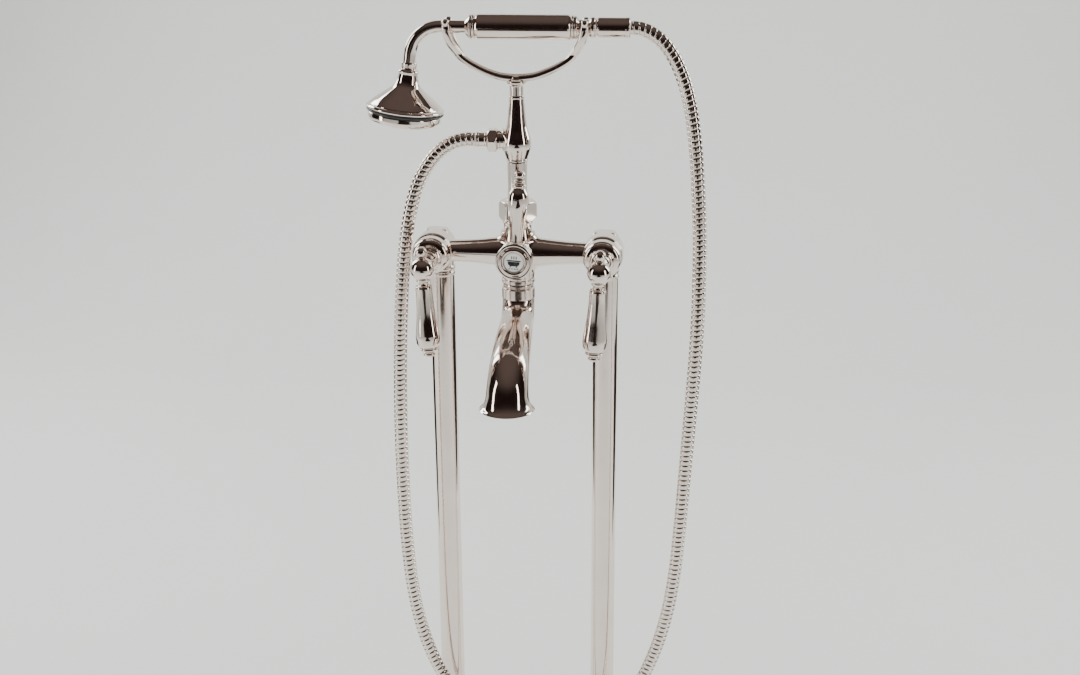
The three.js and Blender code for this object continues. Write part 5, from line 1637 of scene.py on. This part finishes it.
@dataclass
class Studio:
    """A plain pale floor and backdrop, soft light, and the camera, all in metres.

    Attributes:
        stand_off: the camera's place from the middle of the valve axis.
        yaw, pitch, roll: its turn to the left, its tilt down and its roll, in degrees.
        lens: its focal length in millimetres on a 36 mm sensor.
    """

    stand_off: Triple = (0.1763, -1.5651, 0.4344)
    yaw: float = 5.784
    pitch: float = 19.155
    roll: float = -0.333
    lens: float = 50.0

    def camera(self) -> None:
        """Sets the camera.

        With F the view direction, R = (cos yaw, sin yaw, 0) and U = R x F, the roll turns R and U
        about F, and the camera's axes are R, U and -F.
        """
        yaw, pitch, roll = (math.radians(angle) for angle in (self.yaw, self.pitch, self.roll))
        level_view = np.array([-math.sin(yaw), math.cos(yaw), 0.0])
        view = level_view * math.cos(pitch) - np.array([0.0, 0.0, math.sin(pitch)])
        right = np.array([math.cos(yaw), math.sin(yaw), 0.0])
        up = np.cross(right, view)
        turned_right = right * math.cos(roll) + up * math.sin(roll)
        turned_up = up * math.cos(roll) - right * math.sin(roll)
        level = Place.of("left_union_nut").middle[2] * MM
        spot = np.array(self.stand_off) + [0.0, 0.0, level]
        lens = bpy.data.cameras.new("studio_camera")
        lens.lens, lens.sensor_width = self.lens, 36.0
        camera = bpy.data.objects.new("studio_camera", lens)
        set_down(camera, turned_right, turned_up, -view, spot)
        bpy.context.scene.camera = camera

    def sweep(self) -> None:
        """The floor, which curves up into a backdrop behind: a line of (y, z) drawn out along X."""
        back, rise, curve, half = 2.6, 3.4, 0.9, 6.0
        turn = np.linspace(-np.pi / 2, 0, 24)
        bend = np.stack([back - curve + curve * np.cos(turn), curve + curve * np.sin(turn)], 1)
        line = np.vstack([[-6.0, 0.0], [-1.0, 0.0], bend, [back, rise]])
        x = np.linspace(-half, half, 9)
        across = np.broadcast_to(x, (len(line), len(x)))
        drawn = np.broadcast_to(line[:, None], (len(line), len(x), 2))
        points = np.concatenate([across[..., None], drawn], -1)
        stage_sheet("studio_sweep", points, (0.80, 0.81, 0.79), (0.78, 0.79, 0.775), 2.0, (0.75, 0.5))

    def world(self) -> None:
        """Dim warm surroundings for the metal to mirror, and an even pale light for all the rest."""
        world = bpy.data.worlds.new("studio_surroundings")
        bpy.context.scene.world = world
        world.use_nodes = True
        tree = world.node_tree
        tree.nodes.clear()
        link = tree.links.new
        output, mixer, seen, dim, pale, point, parts, climb, shade = (
            tree.nodes.new(f"ShaderNode{kind}")
            for kind in (
                "OutputWorld", "MixShader", "LightPath", "Background", "Background",
                "TexCoord", "SeparateXYZ", "MapRange", "Mix",
            )
        )
        climb.interpolation_type, shade.data_type = "SMOOTHSTEP", "RGBA"
        climb.inputs["From Min"].default_value = 0.30
        climb.inputs["From Max"].default_value = 0.98
        shade.inputs[6].default_value = (0.014, 0.008, 0.007, 1)
        shade.inputs[7].default_value = (0.110, 0.086, 0.076, 1)
        pale.inputs["Color"].default_value = (0.62, 0.63, 0.615, 1)
        link(point.outputs["Generated"], parts.inputs[0])
        link(parts.outputs["Z"], climb.inputs["Value"])
        link(climb.outputs["Result"], shade.inputs[0])
        link(shade.outputs[2], dim.inputs["Color"])
        link(seen.outputs["Is Glossy Ray"], mixer.inputs[0])
        link(pale.outputs[0], mixer.inputs[1])
        link(dim.outputs[0], mixer.inputs[2])
        link(mixer.outputs[0], output.inputs["Surface"])

    def flag(self, name: str, corner: Triple, along: Triple, across: Triple) -> None:
        """Stands a dark board that only mirrors see, which draws dark edges on polished metal.

        Args:
            name: its name.
            corner: one corner.
            along: the way from there along one side.
            across: the way from there along the other side.
        """
        start, side, rise = np.array(corner), np.array(along), np.array(across)
        points = np.array([[start, start + side], [start + rise, start + side + rise]])
        board = stage_sheet(name, points, (0.030, 0.020, 0.017), (0.014, 0.009, 0.008), 3.0, (0.95, 0.0))
        board.visible_camera = board.visible_diffuse = board.visible_shadow = False

    def flags(self) -> None:
        """Two boards behind at the sides, and one flat on the floor far in front."""
        depth, height = (0.0, 2.05, 0.0), (0.0, 0.0, 0.37)
        self.flag("left_flag", (-0.95, 0.15, 0.0), depth, height)
        self.flag("right_flag", (0.95, 0.15, 0.0), depth, height)
        self.flag("front_flag", (-0.80, -5.9, 0.004), (2.0, 0.0, 0.0), (0.0, 3.85, 0.0))

    def lights(self) -> None:
        """Two ceiling banks that mirrors don't see, and window-like panels that the metal mirrors."""
        cool, warm, plain = (0.90, 1.0, 0.96), (1.0, 0.94, 0.90), (1.0, 0.99, 0.97)
        lamps = [
            Lamp("floor_bank", (0.0, -1.6, 3.2), (0.0, -1.2, 0.0), (3.6, 2.6), 50.0, plain, False),
            Lamp("paper_bank", (0.0, 1.0, 3.3), (0.0, 1.8, 0.6), (4.0, 1.6), 40.0, plain, False),
            Lamp("left_window", (-1.9, 1.3, 1.9), (0.0, 0.0, 0.8), (0.9, 1.5), 34.0, cool),
            Lamp("right_window", (2.0, 1.1, 1.7), (0.0, 0.0, 0.8), (0.7, 1.5), 26.0, cool),
            Lamp("left_panel", (-2.3, -0.9, 1.2), (0.0, 0.0, 0.75), (0.35, 1.9), 16.0, warm),
            Lamp("right_panel", (2.4, -1.1, 1.3), (0.0, 0.0, 0.8), (0.3, 1.8), 13.0, warm),
        ]
        for lamp in lamps:
            lamp.hang()

    def build(self) -> None:
        """Sets the paper, the surroundings and the lights."""
        self.sweep()
        self.world()
        self.flags()
        self.lights()


@dataclass
class Mixer:
    """The whole mixer, as its sub-assemblies."""

    hose: Hose = field(default_factory=Hose)
    standpipes: tuple[Standpipe, ...] = (Standpipe("left"), Standpipe("right"))
    valves: tuple[Valve, ...] = (Valve("left"), Valve("right"))
    body: MixerBody = field(default_factory=MixerBody)
    diverter: Diverter = field(default_factory=Diverter)
    spout: Spout = field(default_factory=Spout)
    riser: Riser = field(default_factory=Riser)
    cradle: Cradle = field(default_factory=Cradle)
    handset: Handset = field(default_factory=Handset)

    def build(self, shop: Workshop) -> None:
        """Builds the sub-assemblies in order, the hose first."""
        front = [self.hose, *self.standpipes, *self.valves, self.body, self.diverter, self.spout]
        stages = [*front, self.riser, self.cradle, self.handset]
        for stage in stages:
            LOG.info("building %s", type(stage).__name__)
            stage.build(shop)


def main() -> None:
    """Loads the frame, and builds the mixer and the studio."""
    logging.basicConfig(level=logging.INFO, format="%(name)s: %(message)s")
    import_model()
    studio = Studio()
    studio.camera()
    Mixer().build(Workshop())
    studio.build()
    bpy.context.view_layer.update()


if __name__ == "__main__":
    main()
